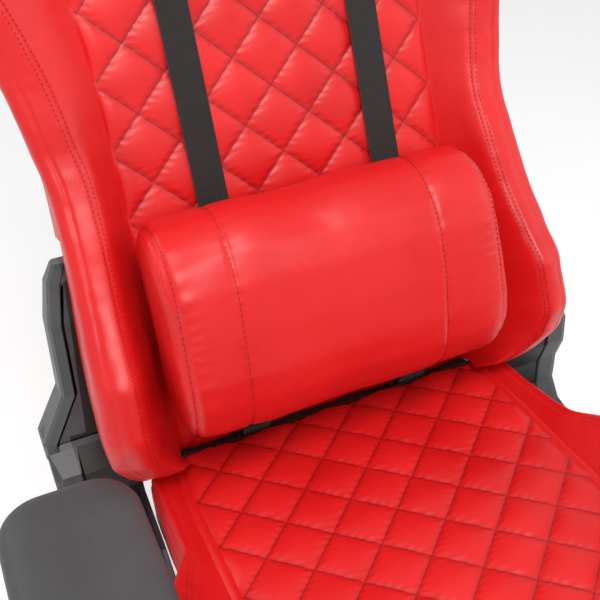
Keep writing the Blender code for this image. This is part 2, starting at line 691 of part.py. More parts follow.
def build_straps(recline):
    """Each strap is a loop: up behind the pillow, through its slot, down the rear and under the foot."""
    radius = FOOT_R + STRAP_OFF + STRAP_THICK / 2
    front = STRAP_OFF + STRAP_THICK / 2
    rear = SHELL_REAR - STRAP_OFF - STRAP_THICK / 2
    route = [(0.12, front), (0.25, front), (0.40, front), (0.60, front), (STRAP_TOP - 0.003, front),
             (STRAP_TOP, front - 0.003), (STRAP_TOP, rear + 0.003), (STRAP_TOP - 0.003, rear), (0.40, rear),
             (0.25, rear), (0.13, rear)]
    steps = 9
    for i in range(steps + 1):
        turn = math.radians(185 + 165 * i / steps)
        route.append((PIVOT_S + radius * math.sin(turn), PIVOT_N + radius * math.cos(turn)))
    for name, x in zip(("strap_right", "strap_left"), STRAP_X):
        path = [back_point(x, s, n) for s, n in route]
        section = rectangle(STRAP_THICK, STRAP_WIDTH)
        piece(name, swept(path, section, closed=True, up=X), "webbing", recline)


def pillow_profile(scale, rear):
    """The pillow's outline in (s, n): flat behind, round in front."""
    middle_s, middle_n, tall, deep = 0.157, 0.060, 0.097, 0.062
    points = []
    for i in range(20):
        a = 2 * math.pi * i / 20
        c, d = math.cos(a), math.sin(a)
        s = middle_s + tall * scale * math.copysign(abs(d) ** 0.80, d)
        n = middle_n + deep * scale * math.copysign(abs(c) ** (0.90 if c > 0 else 0.45), c)
        points.append((s, max(n, rear)))
    return points


def build_pillow(slide):
    end = LUMBAR_HALF
    rings = []
    for x, scale, rear in ((-end, 0.80, 0.030), (-end + 0.004, 0.93, 0.024), (-end + 0.016, 0.99, 0.0085),
                           (-0.080, 1.0, 0.0085), (0.080, 1.0, 0.0085), (end - 0.016, 0.99, 0.0085),
                           (end - 0.004, 0.93, 0.024), (end, 0.80, 0.030)):
        rings.append([back_point(LUMBAR_SHIFT + x, s, n) for s, n in pillow_profile(scale, rear)])
    piece("lumbar_pillow", skin(rings), "leather", slide, 50)


# The recliner hinges, one each side.


def arc_points(radius, start, end, steps, centre=(0, 0)):
    """Points on an arc about the pivot, as (y, z) from the junction. 0 degrees is forwards and 90 is up."""
    y0, z0 = PIVOT.y - JUNCTION.y + centre[0], PIVOT.z - JUNCTION.z + centre[1]
    points = []
    for i in range(steps + 1):
        a = math.radians(start + (end - start) * i / steps)
        points.append((y0 - radius * math.cos(a), z0 + radius * math.sin(a)))
    return points


def cover_section(s, front, rear, outside, bevel):
    """A ring of the arm cover at s, as (x, n): a sunk strip by the pad, a ridge and a bevelled outside."""
    return s, [(COVER_X, front - 0.004), (outside - 0.0130, front - 0.004), (outside - 0.0115, front),
               (outside - 0.0025, front - 0.003), (outside, front - 0.010), (outside, rear + bevel),
               (outside - 0.45 * bevel, rear), (COVER_X, rear)]


UPPER_COVER = [
    (0.222, -0.028, -0.060, 0.238, 0.007),
    (0.206, -0.018, -0.067, 0.248, 0.010),
    (0.168, -0.013, -0.074, 0.257, 0.010),
    (0.098, -0.012, -0.076, 0.262, 0.010),
    (0.057, -0.007, -0.080, HUB_COVER_X + 0.0015, 0.013),
    (0.040, -0.014, -0.076, HUB_COVER_X + 0.0015, 0.013),
]
COVER_HUB_R = 0.0420


def build_hinge(label, side, tilt, recline):
    def side_prism(outline, low, high):
        return prism(lambda x: [near_junction(side * x, y, z) for y, z in outline], low, high)

    def about_pivot(radius, low, high, sides=24):
        return rod(PIVOT + side * low * X, PIVOT + side * high * X, radius, sides)

    disc = arc_points(0.036, 30, 250, 10)
    lower = disc + [(0.028, -0.078), (-0.030, -0.084), (-0.088, -0.078), (-0.096, -0.060), (-0.060, -0.040),
                    (0.004, -0.022)]
    plate = piece(f"recliner_seat_plate_{label}", side_prism(lower, *LOWER_PLATE_X), "steel", tilt)
    cut(plate, about_pivot(0.0066, 0.19, 0.24, 12), "bore")
    arm = [back_point(side, 0.060, -0.076), back_point(side, 0.214, -0.074), back_point(side, 0.220, -0.060),
           back_point(side, 0.214, -0.022), back_point(side, 0.080, -0.018)]
    upper = [(p.y - JUNCTION.y, p.z - JUNCTION.z) for p in arm] + arc_points(0.034, 60, -150, 10)
    plate = piece(f"recliner_back_plate_{label}", side_prism(upper, *UPPER_PLATE_X), "steel", recline)
    cut(plate, about_pivot(0.0064, 0.19, 0.24, 12), "bore")

    rings = []
    for row in UPPER_COVER:
        s, section = cover_section(*row)
        rings.append([back_point(side * x, s, n) for x, n in section])
    cover = piece(f"back_cover_{label}", skin(rings), "cover_plastic", recline)
    base, far = COVER_X + 0.0004, HUB_COVER_X
    hub = [(0, base), (COVER_HUB_R, base), (COVER_HUB_R, far - 0.012), (COVER_HUB_R - 0.009, far), (0, far)]
    add(cover, turned(hub, PIVOT, side * X, 16, False), "hub")
    inner_rings = []
    wall = 0.003
    for s, front, rear, outside, bevel in UPPER_COVER[1:]:
        end = min(s, 0.203)
        _, section = cover_section(end, front - wall, rear + wall, outside - wall, bevel)
        section = [(x if x > COVER_X else COVER_X - 0.003, n) for x, n in section]
        inner_rings.append([back_point(side * x, end, n) for x, n in section])
    cut(cover, skin(inner_rings), "inside")
    bowl = [(0, COVER_X - 0.004), (COVER_HUB_R - wall, COVER_X - 0.004), (COVER_HUB_R - wall, far - 0.015),
            (COVER_HUB_R - 0.012, far - wall), (0, far - wall)]
    cut(cover, turned(bowl, PIVOT, side * X, 16, False), "hub_inside")

    rim = arc_points(COVER_HUB_R + 0.004, 48, -135, 12)
    edge = [(0.094, -0.040), (0.098, -0.074), (0.062, -0.116), (0.010, -0.128), (-0.040, -0.118),
            (-0.046, -0.100),
            (-0.006, -0.092), (0.010, -0.070), (0.010, -0.034), (0.000, -0.004), (0.002, 0.030)]
    middle = Vector((0.040, -0.060))

    def inset(share):
        return rim + [(y + (middle[0] - y) * share, z + (middle[1] - z) * share) for y, z in edge]

    levels = [(LOWER_PLATE_X[1] + GAP, inset(0.05)), (HUB_COVER_X - 0.0275, inset(0.05)),
              (HUB_COVER_X - 0.0250, inset(0)), (HUB_COVER_X - 0.0070, inset(0)),
              (HUB_COVER_X - 0.001, inset(0.06))]
    rings = [[near_junction(side * x, y, z) for y, z in points] for x, points in levels]
    piece(f"seat_cover_{label}", skin(rings), "cover_plastic", tilt)


def build_recliner_rod(recline):
    ends = UPPER_PLATE_X[1] + 0.004
    piece("recliner_rod", rod(PIVOT - ends * X, PIVOT + ends * X, 0.0060, 16), "bright_steel", recline, 30)


def build_recline_lever(lever):
    """The handle that frees the recliner, beside the sitter's right thigh."""
    x = -HUB_COVER_X - 0.0005
    y, z = 0.000, -0.066
    boss = rod(near_junction(x + 0.0015, y, z), near_junction(x - 0.010, y, z), 0.014, 16)
    handle = piece("recline_lever", boss, "nylon", lever, 30)
    stations = [((0.004, 0.000), 0.020), ((-0.040, 0.004), 0.016), ((-0.100, 0.006), 0.018),
                ((-0.138, 0.002), 0.022),
                ((-0.150, 0.000), 0.014)]
    rings = []
    for (dy, dz), tall in stations:
        thick = 0.0095
        section = rounded(thick, tall, 0.003, 1)
        rings.append([near_junction(x - 0.0050 + a, y + dy, z + dz + b) for a, b in section])
    add(handle, skin(rings), "grip")


# The armrests.


def build_armrest(label, side, tilt, height, button):
    def at(x, y, z):
        return Vector((side * (ARM_X + x), ARM_Y + y, z))

    def upright(wide, deep, low, high, radius):
        ring = rounded(wide, deep, radius, 2)
        return prism(lambda z: [at(a, b, z) for a, b in ring], low, high)

    foot = seat_point(0, 0.300, -0.0902).z
    outer = ARM_X + SLEEVE[0] / 2
    inner, thick, half_wide = 0.105, 0.006, 0.028
    profile = [(inner, foot), (inner, foot - thick), (outer + thick, foot - thick),
               (outer + thick + GAP, 0.500),
               (outer + GAP, 0.500), (outer + GAP, foot)]
    pitch = math.tan(SEAT_PITCH)
    bracket = piece(f"arm_bracket_{label}",
                    skin([[Vector((side * a, ARM_Y + y, b - y * pitch * (b < 0.42))) for a, b in profile]
                          for y in (-half_wide, half_wide)]), "steel", tilt)
    bracket.modifiers.new("edge", "BEVEL").width = 0.001
    sleeve = piece(f"arm_sleeve_{label}", upright(SLEEVE[0], SLEEVE[1], foot + 0.003, 0.560, 0.006),
                   "nylon", tilt, 40)
    wall = SLEEVE_WALL
    cut(sleeve, upright(SLEEVE[0] - 2 * wall, SLEEVE[1] - 2 * wall, foot + 0.007, 0.600, 0.003), "bore")
    pocket = rounded(0.018, 0.030, 0.006, 2)
    cut(sleeve, prism(lambda x: [at(x, b - 0.010, 0.532 + a) for a, b in pocket], 0.010, 0.030),
        "button_pocket")
    stem_wide, stem_deep = SLEEVE[0] - 2 * wall - 0.0012, SLEEVE[1] - 2 * wall - 0.0012
    stem = piece(f"arm_upright_{label}", upright(stem_wide, stem_deep, 0.440, PAD_TOP - 0.034, 0.0025),
                 "nylon",
                 height, 40)
    flange = rounded(0.052, 0.150, 0.012, 3)
    add(stem, prism(lambda z: [at(a, b, z) for a, b in flange], PAD_TOP - 0.036, PAD_TOP - 0.0285), "flange")
    face = rounded(0.0168, 0.0288, 0.0055, 2)
    piece(f"arm_button_{label}",
          prism(lambda x: [at(x, b - 0.010, 0.532 + a) for a, b in face], 0.0118, 0.0195), "cover_plastic",
          button, 30)
    rings = []
    for z, inset in ((PAD_TOP - 0.028, 0.004), (PAD_TOP - 0.020, 0.0), (PAD_TOP - 0.007, 0.001),
                     (PAD_TOP - 0.002, 0.006), (PAD_TOP, 0.014)):
        ring = rounded(0.100 - 2 * inset, 0.260 - 2 * inset, 0.034 - inset, 4)
        rings.append([at(a, b, z) for a, b in ring])
    piece(f"arm_pad_{label}", skin(rings), "arm_foam", height, 50)


def build():
    clear_scene()
    make_materials()
    root = axis("chair", Vector((0, 0, 0)))
    build_star_base(root)
    for leg in range(LEGS):
        build_castor(leg, root)
    column = Vector((0, COLUMN_Y, 0))
    spindle = axis("seat_swivel", column, root)
    sleeve = axis("cover_slide", column, root)
    lift = axis("height_slide", column, spindle)
    build_column(root, spindle, lift, sleeve)
    button = axis("release_button_press", column + CYLINDER_TOP * Z, lift)
    lever = axis("height_lever_pivot", Vector((LEVER_X, COLUMN_Y, LEVER_Z)), lift)
    build_mechanism(lift, button, lever)
    tilt = axis("seat_tilt", Vector((0, TILT_Y, TILT_Z)), lift)
    knob = axis("tension_knob_turn", Vector((0, KNOB_Y, 0.277)), lift)
    build_tilt_parts(lift, tilt, knob)
    build_seat(tilt)
    recline = axis("recline_pivot", PIVOT, tilt, (-BACK_RECLINE, 0, 0))
    build_back(recline)
    build_straps(recline)
    build_pillow(axis("pillow_slide", back_point(0, 0.155, 0), recline, (-BACK_RECLINE, 0, 0)))
    build_recliner_rod(recline)
    build_recline_lever(axis("recline_lever_pivot", near_junction(-HUB_COVER_X, 0.000, -0.066), tilt))
    for label, side in (("right", -1), ("left", 1)):
        build_hinge(label, side, tilt, recline)
        height = axis(f"arm_height_{label}", Vector((side * ARM_X, ARM_Y, 0.560)), tilt)
        button = axis(f"arm_button_{label}_press", Vector((side * ARM_X, ARM_Y, 0.532)), tilt)
        build_armrest(label, side, tilt, height, button)


build()
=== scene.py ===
"""The looks of the gaming chair: leather, lumbar pillow, webbing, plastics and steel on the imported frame.

Metres, +Z up, and the sitter faces -Y. A point on the back is (x, s, n): s runs up the reclined back from
the junction with the seat, and n stands out from it. A point on the seat is (x, q, h): q runs forwards, and
h upwards.
"""

import json
import math

import bpy
import bmesh
import numpy as np
from mathutils import Matrix, Vector
from mathutils.bvhtree import BVHTree

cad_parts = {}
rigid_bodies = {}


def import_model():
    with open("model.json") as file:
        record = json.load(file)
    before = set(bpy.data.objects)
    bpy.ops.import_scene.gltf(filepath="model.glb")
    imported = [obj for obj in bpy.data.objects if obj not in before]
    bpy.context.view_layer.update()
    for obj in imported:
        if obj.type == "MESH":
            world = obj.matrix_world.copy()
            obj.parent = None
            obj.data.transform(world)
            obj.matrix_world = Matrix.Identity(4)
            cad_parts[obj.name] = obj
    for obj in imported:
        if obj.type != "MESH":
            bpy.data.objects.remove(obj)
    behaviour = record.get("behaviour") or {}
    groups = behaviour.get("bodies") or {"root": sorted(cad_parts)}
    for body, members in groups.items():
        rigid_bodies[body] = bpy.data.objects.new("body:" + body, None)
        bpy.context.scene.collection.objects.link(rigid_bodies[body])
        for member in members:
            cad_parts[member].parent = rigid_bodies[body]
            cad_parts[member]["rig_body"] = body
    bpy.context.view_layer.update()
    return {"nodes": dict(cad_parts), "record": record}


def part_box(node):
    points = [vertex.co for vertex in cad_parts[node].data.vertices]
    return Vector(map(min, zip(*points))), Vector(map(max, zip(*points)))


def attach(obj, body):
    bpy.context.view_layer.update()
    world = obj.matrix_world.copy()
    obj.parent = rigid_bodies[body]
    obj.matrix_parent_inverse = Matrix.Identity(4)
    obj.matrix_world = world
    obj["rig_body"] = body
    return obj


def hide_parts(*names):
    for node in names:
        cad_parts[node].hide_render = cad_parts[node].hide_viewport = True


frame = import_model()
nodes = frame["nodes"]

# Driving dimensions, as in the CAD.
JUNCTION = np.array((0.0, 0.095, 0.470))
PITCH = math.radians(4.9)
RECLINE = math.radians(20.7)
BACK_UP = np.array((0.0, math.sin(RECLINE), math.cos(RECLINE)))
BACK_OUT = np.array((0.0, -math.cos(RECLINE), math.sin(RECLINE)))
SEAT_FORWARD = np.array((0.0, -math.cos(PITCH), math.sin(PITCH)))
SEAT_UP = np.array((0.0, math.sin(PITCH), math.cos(PITCH)))
X_AXIS = np.array((1.0, 0.0, 0.0))
PANEL = 0.163  # half the quilted panel's width on the lower back
PIVOT_S, PIVOT_N, FOOT_R = 0.030, -0.045, 0.034  # the recline axis, and the round foot about it
PAD_REAR = -0.0450
SHELL_REAR = -0.090
HINGE_SIDE, HINGE_TOP = 0.2075, 0.239  # the covers' sides stay inside the hinge plates up to HINGE_TOP
FOOT_HALF = 0.1945
BACK_TOP_S = 0.872
DIAMOND = 0.065
SHARP = math.radians(50)

BACK_LATTICE = ((-0.03425, 0.3112), 0.9694)  # a crossing of the quilting seams, and how stretched they are
SEAT_LATTICE = ((-0.13825, 0.0247), 0.9764)

BACK_LEVELS = [  # s, half width, half panel, rise of the side bolster
    (0.005, 0.199, PANEL, 0.014), (0.014, 0.213, PANEL, 0.044), (0.030, 0.229, PANEL, 0.064),
    (0.050, 0.239, PANEL, 0.083), (0.080, 0.242, PANEL, 0.097), (0.120, 0.240, PANEL, 0.097),
    (0.160, 0.237, PANEL, 0.078), (0.205, 0.233, PANEL, 0.059), (0.250, 0.230, PANEL, 0.047),
    (0.290, 0.229, PANEL, 0.035), (0.330, 0.234, PANEL, 0.028), (0.375, 0.241, PANEL, 0.027),
    (0.420, 0.252, 0.166, 0.033), (0.470, 0.267, 0.170, 0.042), (0.520, 0.275, 0.172, 0.046),
    (0.570, 0.268, 0.166, 0.042), (0.620, 0.240, 0.152, 0.032), (0.670, 0.207, 0.132, 0.022),
    (0.720, 0.184, 0.116, 0.018), (0.780, 0.168, 0.106, 0.016), (0.830, 0.148, 0.092, 0.011),
    (0.858, 0.112, 0.068, 0.004),
]
UNDERSIDE = [  # s, and n of the back bolster's outer lower edge
    (0.050, 0.020), (0.075, 0.012), (0.100, -0.002), (0.125, -0.008), (0.250, -0.008), (0.300, -0.012),
]
SEAT_LEVELS = [  # q, half width, half panel, rise of the bolster, fall of the top, fall of the bottom edge
    (-0.0135, 0.189, 0.174, 0, 0.0035, 0.072), (-0.0105, 0.192, 0.176, 0, 0.0008, 0.076),
    (0.006, 0.204, 0.180, 0.001, 0, 0.086), (0.080, 0.206, 0.181, 0.006, 0, 0.088),
    (0.122, 0.208, 0.181, 0.013, 0, 0.088), (0.155, 0.228, 0.181, 0.022, 0, 0.088),
    (0.200, 0.250, 0.181, 0.032, 0, 0.088), (0.270, 0.263, 0.181, 0.040, 0, 0.088),
    (0.350, 0.264, 0.180, 0.040, 0, 0.088), (0.420, 0.259, 0.174, 0.033, 0.002, 0.088),
    (0.465, 0.249, 0.165, 0.022, 0.007, 0.087), (0.495, 0.234, 0.150, 0.008, 0.018, 0.084),
    (0.512, 0.214, 0.135, 0, 0.038, 0.076), (0.517, 0.200, 0.125, 0, 0.052, 0.066),
]


def back_point(x, s, n):
    """Points on or off the back, from numbers or arrays."""
    x, s, n = np.broadcast_arrays(np.asarray(x, float), s, n)
    return JUNCTION + x[..., None] * X_AXIS + s[..., None] * BACK_UP + n[..., None] * BACK_OUT


def seat_point(x, q, h):
    """Points on or off the seat, from numbers or arrays."""
    x, q, h = np.broadcast_arrays(np.asarray(x, float), q, h)
    return JUNCTION + x[..., None] * X_AXIS + q[..., None] * SEAT_FORWARD + h[..., None] * SEAT_UP


def back_frame_of(points):
    """World points as (x, s, n)."""
    away = np.asarray(points) - JUNCTION
    return np.column_stack([away[:, 0], away @ BACK_UP, away @ BACK_OUT])


def smooth_row(rows, t):
    """Values of a table at t, on monotone cubic curves through its rows."""
    data = np.array(rows, float)
    at, gap = data[:, 0], np.diff(data[:, 0])
    k = int(np.clip(np.searchsorted(at, t) - 1, 0, len(gap) - 1))
    u = min(max((t - at[k]) / gap[k], 0.0), 1.0)
    values = []
    for column in data[:, 1:].T:
        rise = np.diff(column) / gap
        slope = np.empty_like(column)
        slope[0], slope[-1] = rise[0], rise[-1]
        for i in range(1, len(rise)):
            a, b = rise[i - 1], rise[i]
            slope[i] = 0.0 if a * b <= 0 else 3 * a * b / (a + b + max(a, b, key=abs))
        y0, y1, m0, m1 = column[k], column[k + 1], slope[k] * gap[k], slope[k + 1] * gap[k]
        values.append(y0 * (1 + 2 * u) * (1 - u) ** 2 + m0 * u * (1 - u) ** 2 + y1 * u * u * (3 - 2 * u)
                      + m1 * u * u * (u - 1))
    return values


def spline(points, count):
    """An even run of count points on a smooth curve through points."""
    p = np.array(points, float)
    p = np.vstack([2 * p[0] - p[1], p, 2 * p[-1] - p[-2]])
    t = np.linspace(0, 1, 12, endpoint=False)[:, None]
    dense = []
    for i in range(1, len(p) - 2):
        a, b, c, d = p[i - 1:i + 3]
        dense.append(0.5 * (2 * b + (c - a) * t + (2 * a - 5 * b + 4 * c - d) * t ** 2
                            + (3 * b - a - 3 * c + d) * t ** 3))
    dense = np.vstack(dense + [p[-2:-1]])
    run = np.concatenate([[0], np.cumsum(np.linalg.norm(np.diff(dense, axis=0), axis=1))])
    even = np.linspace(0, run[-1], count)
    return np.column_stack([np.interp(even, run, dense[:, k]) for k in range(dense.shape[1])])


class Ripple:
    """Smooth seeded noise between about -1 and 1, a sum of waves. The shortest wave is size long."""

    def __init__(self, seed, size, waves=9):
        rng = np.random.RandomState(seed)
        way = rng.normal(size=(waves, 3))
        way /= np.linalg.norm(way, axis=1)[:, None]
        self.way = way * (2 * math.pi / size) * rng.uniform(0.35, 1.0, size=(waves, 1))
        self.phase = rng.uniform(0, 2 * math.pi, size=waves)

    def __call__(self, points):
        return np.sin(points @ self.way.T + self.phase).sum(axis=-1) / math.sqrt(len(self.phase)) * 0.8


def ridge(distance, width):
    """A bump one high that fades over width."""
    return np.exp(-(distance / width) ** 2)


# Meshes.


def grid_mesh(name, rings, caps=True):
    """A smooth mesh over closed rings of equally many points each; an array of rings, points, 3."""
    rings = np.asarray(rings)
    count, around = rings.shape[:2]
    faces = []
    for i in range(count - 1):
        for j in range(around):
            k = (j + 1) % around
            faces.append((i * around + j, i * around + k, (i + 1) * around + k, (i + 1) * around + j))
    if caps:
        faces.append(tuple(range(around))[::-1])
        faces.append(tuple(range((count - 1) * around, count * around)))
    mesh = bpy.data.meshes.new(name)
    mesh.from_pydata(rings.reshape(-1, 3).tolist(), [], faces)
    return finished(name, mesh)


def finished(name, mesh):
    """An object on mesh with its faces turned outwards and smooth shading."""
    bm = bmesh.new()
    bm.from_mesh(mesh)
    bmesh.ops.recalc_face_normals(bm, faces=bm.faces)
    bm.to_mesh(mesh)
    bm.free()
    mesh.shade_smooth()
    mesh.set_sharp_from_angle(angle=SHARP)
    obj = bpy.data.objects.new(name, mesh)
    bpy.context.scene.collection.objects.link(obj)
    return obj


def evaluated_mesh(obj):
    """A new mesh of obj with its modifiers applied."""
    return bpy.data.meshes.new_from_object(obj.evaluated_get(bpy.context.evaluated_depsgraph_get()))


def placed(obj, body, material, replaces=(), panel=None):
    """Gives a piece its material, its body and what it stands for.

    panel is a second material and a function that says which faces take it, from their middles.
    """
    obj.data.materials.clear()
    obj.data.materials.append(material)
    if panel:
        obj.data.materials.append(panel[0])
        middles = np.empty(len(obj.data.polygons) * 3)
        obj.data.polygons.foreach_get("center", middles)
        obj.data.polygons.foreach_set("material_index", panel[1](middles.reshape(-1, 3)).astype(np.int32))
    if replaces:
        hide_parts(*replaces)
    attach(obj, body)
    return obj


def tube_mesh(name, path, radius, sides):
    """A closed round cord along path, an array of points on the back."""
    ahead = np.roll(path, -1, axis=0) - np.roll(path, 1, axis=0)
    ahead /= np.linalg.norm(ahead, axis=1)[:, None]
    side = np.cross(ahead, BACK_OUT)
    side /= np.linalg.norm(side, axis=1)[:, None]
    lift = np.cross(side, ahead)
    turn = np.linspace(0, 2 * math.pi, sides, endpoint=False)
    rings = (path[:, None] + radius * (np.cos(turn)[None, :, None] * side[:, None]
                                       + np.sin(turn)[None, :, None] * lift[:, None]))
    obj = grid_mesh(name, np.concatenate([rings, rings[:1]]), caps=False)
    bm = bmesh.new()
    bm.from_mesh(obj.data)
    bmesh.ops.remove_doubles(bm, verts=bm.verts, dist=1e-6)
    bm.to_mesh(obj.data)
    bm.free()
    return obj


def stitches(name, runs, pitch=0.0046, long=0.0031, thick=0.00042):
    """Rows of sewn thread. Each run is (points, outward normals) along a seam."""
    verts, faces = [], []
    sides = 5
    turn = np.linspace(0, 2 * math.pi, sides, endpoint=False)
    for points, outward in runs:
        points, outward = np.asarray(points), np.asarray(outward)
        run = np.concatenate([[0], np.cumsum(np.linalg.norm(np.diff(points, axis=0), axis=1))])
        for start in np.arange(pitch / 2, run[-1] - pitch / 2, pitch):
            along = [start, start + long * 0.5, start + long]
            at = np.column_stack([np.interp(along, run, points[:, k]) for k in range(3)])
            out = np.array([np.interp(start, run, outward[:, k]) for k in range(3)])
            out /= np.linalg.norm(out) + 1e-9
            ahead = at[2] - at[0]
            ahead /= np.linalg.norm(ahead) + 1e-9
            side = np.cross(ahead, out)
            base = len(verts)
            for p, size, rise in zip(at, (0.35, 1.0, 0.35), (-0.4, 0.55, -0.4)):
                for a in turn:
                    around = math.cos(a) * side + math.sin(a) * out
                    verts.append(p + thick * size * around + thick * rise * out)
            for ring in (base, base + sides):
                for k in range(sides):
                    a, b = ring + k, ring + (k + 1) % sides
                    faces.append((a, b, b + sides, a + sides))
            faces.append(tuple(range(base, base + sides))[::-1])
            faces.append(tuple(range(base + 2 * sides, base + 3 * sides)))
    mesh = bpy.data.meshes.new(name)
    mesh.from_pydata([tuple(v) for v in verts], [], faces)
    return finished(name, mesh)


# Materials.


class Shader:
    """A node material. Each method adds a node and returns its output."""

    def __init__(self, name, **values):
        self.material = bpy.data.materials.new(name)
        self.material.use_nodes = True
        self.tree = self.material.node_tree
        self.bsdf = self.tree.nodes["Principled BSDF"]
        self.where = self.tree.nodes.new("ShaderNodeTexCoord").outputs["Object"]
        self.bumped = None
        for key, value in values.items():
            self.bsdf.inputs[key.replace("_", " ")].default_value = value

    def node(self, kind, inputs=(), **settings):
        made = self.tree.nodes.new(kind)
        for key, value in settings.items():
            setattr(made, key, value)
        for key, value in dict(inputs).items():
            if isinstance(value, bpy.types.NodeSocket):
                self.tree.links.new(value, made.inputs[key])
            else:
                made.inputs[key].default_value = value
        return made

    def noise(self, scale, detail=3.0, rough=0.55):
        inputs = {"Vector": self.where, "Scale": scale, "Detail": detail, "Roughness": rough}
        return self.node("ShaderNodeTexNoise", inputs).outputs["Fac"]

    def cells(self, scale):
        return self.node("ShaderNodeTexVoronoi", {"Vector": self.where, "Scale": scale}).outputs["Distance"]

    def math(self, operation, a, b=0.0):
        return self.node("ShaderNodeMath", {0: a, 1: b}, operation=operation).outputs[0]

    def span(self, value, low, high, to_low=0.0, to_high=1.0):
        return self.node("ShaderNodeMapRange", {"Value": value, "From Min": low, "From Max": high,
                                                "To Min": to_low, "To Max": to_high}).outputs["Result"]

    def mix(self, share, a, b):
        made = self.node("ShaderNodeMix", {0: share}, data_type="RGBA")
        for socket, value in ((6, a), (7, b)):
            if isinstance(value, bpy.types.NodeSocket):
                self.tree.links.new(value, made.inputs[socket])
            else:
                made.inputs[socket].default_value = value
        return made.outputs[2]

    def bump(self, height, distance, strength=1.0):
        inputs = {"Height": height, "Distance": distance, "Strength": strength}
        if self.bumped is not None:
            inputs["Normal"] = self.bumped
        self.bumped = self.node("ShaderNodeBump", inputs).outputs["Normal"]

    def split(self, where=None):
        return self.node("ShaderNodeSeparateXYZ", {0: where or self.where}).outputs

    def turned(self, angle):
        """Coordinates turned about X, so that their axes lie along the reclined back."""
        return self.node("ShaderNodeMapping", {"Vector": self.where, "Rotation": (angle, 0, 0)},
                         vector_type="POINT").outputs["Vector"]

    def done(self, colour=None, roughness=None):
        for key, value in (("Base Color", colour), ("Roughness", roughness), ("Normal", self.bumped)):
            if isinstance(value, bpy.types.NodeSocket):
                self.tree.links.new(value, self.bsdf.inputs[key])
            elif value is not None:
                self.bsdf.inputs[key].default_value = value
        return self.material


def linear(r, g, b):
    """A colour from 0 to 255 on the screen, as the linear values that nodes use."""
    values = [(c / 255 / 12.92) if c < 11 else ((c / 255 + 0.055) / 1.055) ** 2.4 for c in (r, g, b)]
    return tuple(values) + (1.0,)


PEBBLES = 900  # cells of leather grain to a metre


def leather_grain(m, broad, roughness):
    """Gives m pebble grain and faint creases, and returns its roughness, which varies a little."""
    pores = m.cells(PEBBLES)
    m.bump(m.noise(55, 3, 0.6), 0.0012, 0.10)
    m.bump(m.math("ADD", pores, m.math("MULTIPLY", m.noise(PEBBLES * 2.2, 2), 0.6)), 0.00012, 0.55)
    uneven = m.math("ADD", broad, m.math("MULTIPLY", pores, 0.35))
    return m.span(uneven, 0.3, 0.9, roughness - 0.04, roughness + 0.08)


def leather(name, colour, dark):
    """Smooth coated leather, a little darker here and there."""
    m = Shader(name, Specular_IOR_Level=0.42, Coat_Weight=0.10, Coat_Roughness=0.42)
    broad, fine = m.noise(9, 3), m.noise(140, 4)
    tone = m.math("ADD", m.math("MULTIPLY", broad, 0.55), m.math("MULTIPLY", fine, 0.25))
    tint = m.mix(m.span(tone, 0.25, 0.62), dark, colour)
    return m.done(tint, leather_grain(m, broad, 0.37))


def quilted_leather(name, up, crossings, colour, dark):
    """The same leather, with painted shade along the quilting seams and towards them."""
    (centre_x, centre_up), stretch = crossings
    m = Shader(name, Specular_IOR_Level=0.42, Coat_Weight=0.10, Coat_Roughness=0.42)
    x, y, z = m.split()[:3]
    along = m.math("ADD", m.math("MULTIPLY", m.math("SUBTRACT", y, float(JUNCTION[1])), float(up[1])),
                   m.math("MULTIPLY", m.math("SUBTRACT", z, float(JUNCTION[2])), float(up[2])))
    u = m.math("DIVIDE", m.math("SUBTRACT", x, centre_x), DIAMOND / 2)
    v = m.math("DIVIDE", m.math("SUBTRACT", along, centre_up), DIAMOND / 2 * stretch)
    from_seams = []
    for operation in ("ADD", "SUBTRACT"):
        count = m.math("MULTIPLY", m.math(operation, u, v), 0.5)
        part = m.math("SUBTRACT", m.math("FRACT", m.math("ADD", count, 0.5)), 0.5)
        from_seams.append(m.math("ABSOLUTE", part))
    away = m.math("MINIMUM", from_seams[0], from_seams[1])
    # Painted shade: a dark red band along the quilting seams, and a broader darkening towards them.
    seam_fold_shade = m.math("MULTIPLY", m.span(away, 0.004, 0.026, 1.0, 0.0), 0.80)
    shade = m.math("MULTIPLY", m.span(away, 0.0, 0.11, 0.45, 0.0), 0.6)
    broad = m.noise(9, 3)
    tint = m.mix(m.span(broad, 0.25, 0.62), dark, colour)
    tint = m.mix(m.math("MAXIMUM", seam_fold_shade, shade), tint, linear(120, 8, 10))
    return m.done(tint, leather_grain(m, broad, 0.38))


def plastic(name, colour, dark, roughness, texture=700, depth=0.00015):
    """Moulded plastic with a spark-eroded texture, and rubbed lighter marks here and there."""
    m = Shader(name, Specular_IOR_Level=0.5)
    grain, broad = m.noise(texture, 3, 0.7), m.noise(14, 4)
    tint = m.mix(m.span(broad, 0.35, 0.7), dark, colour)
    m.bump(grain, depth, 0.8)
    uneven = m.math("ADD", m.math("MULTIPLY", grain, 0.4), broad)
    return m.done(tint, m.span(uneven, 0.4, 1.0, roughness - 0.05, roughness + 0.10))


def metal(name, colour, dark, roughness, metallic, flake=1600):
    """Powder-coated or turned steel."""
    m = Shader(name, Metallic=metallic, Specular_IOR_Level=0.5)
    grain, broad = m.noise(flake, 2, 0.6), m.noise(18, 5)
    m.bump(grain, 0.00006, 0.7)
    m.bump(broad, 0.0004, 0.15)
    tint = m.mix(m.span(broad, 0.3, 0.7), dark, colour)
    return m.done(tint, m.span(grain, 0.3, 0.7, roughness - 0.05, roughness + 0.07))


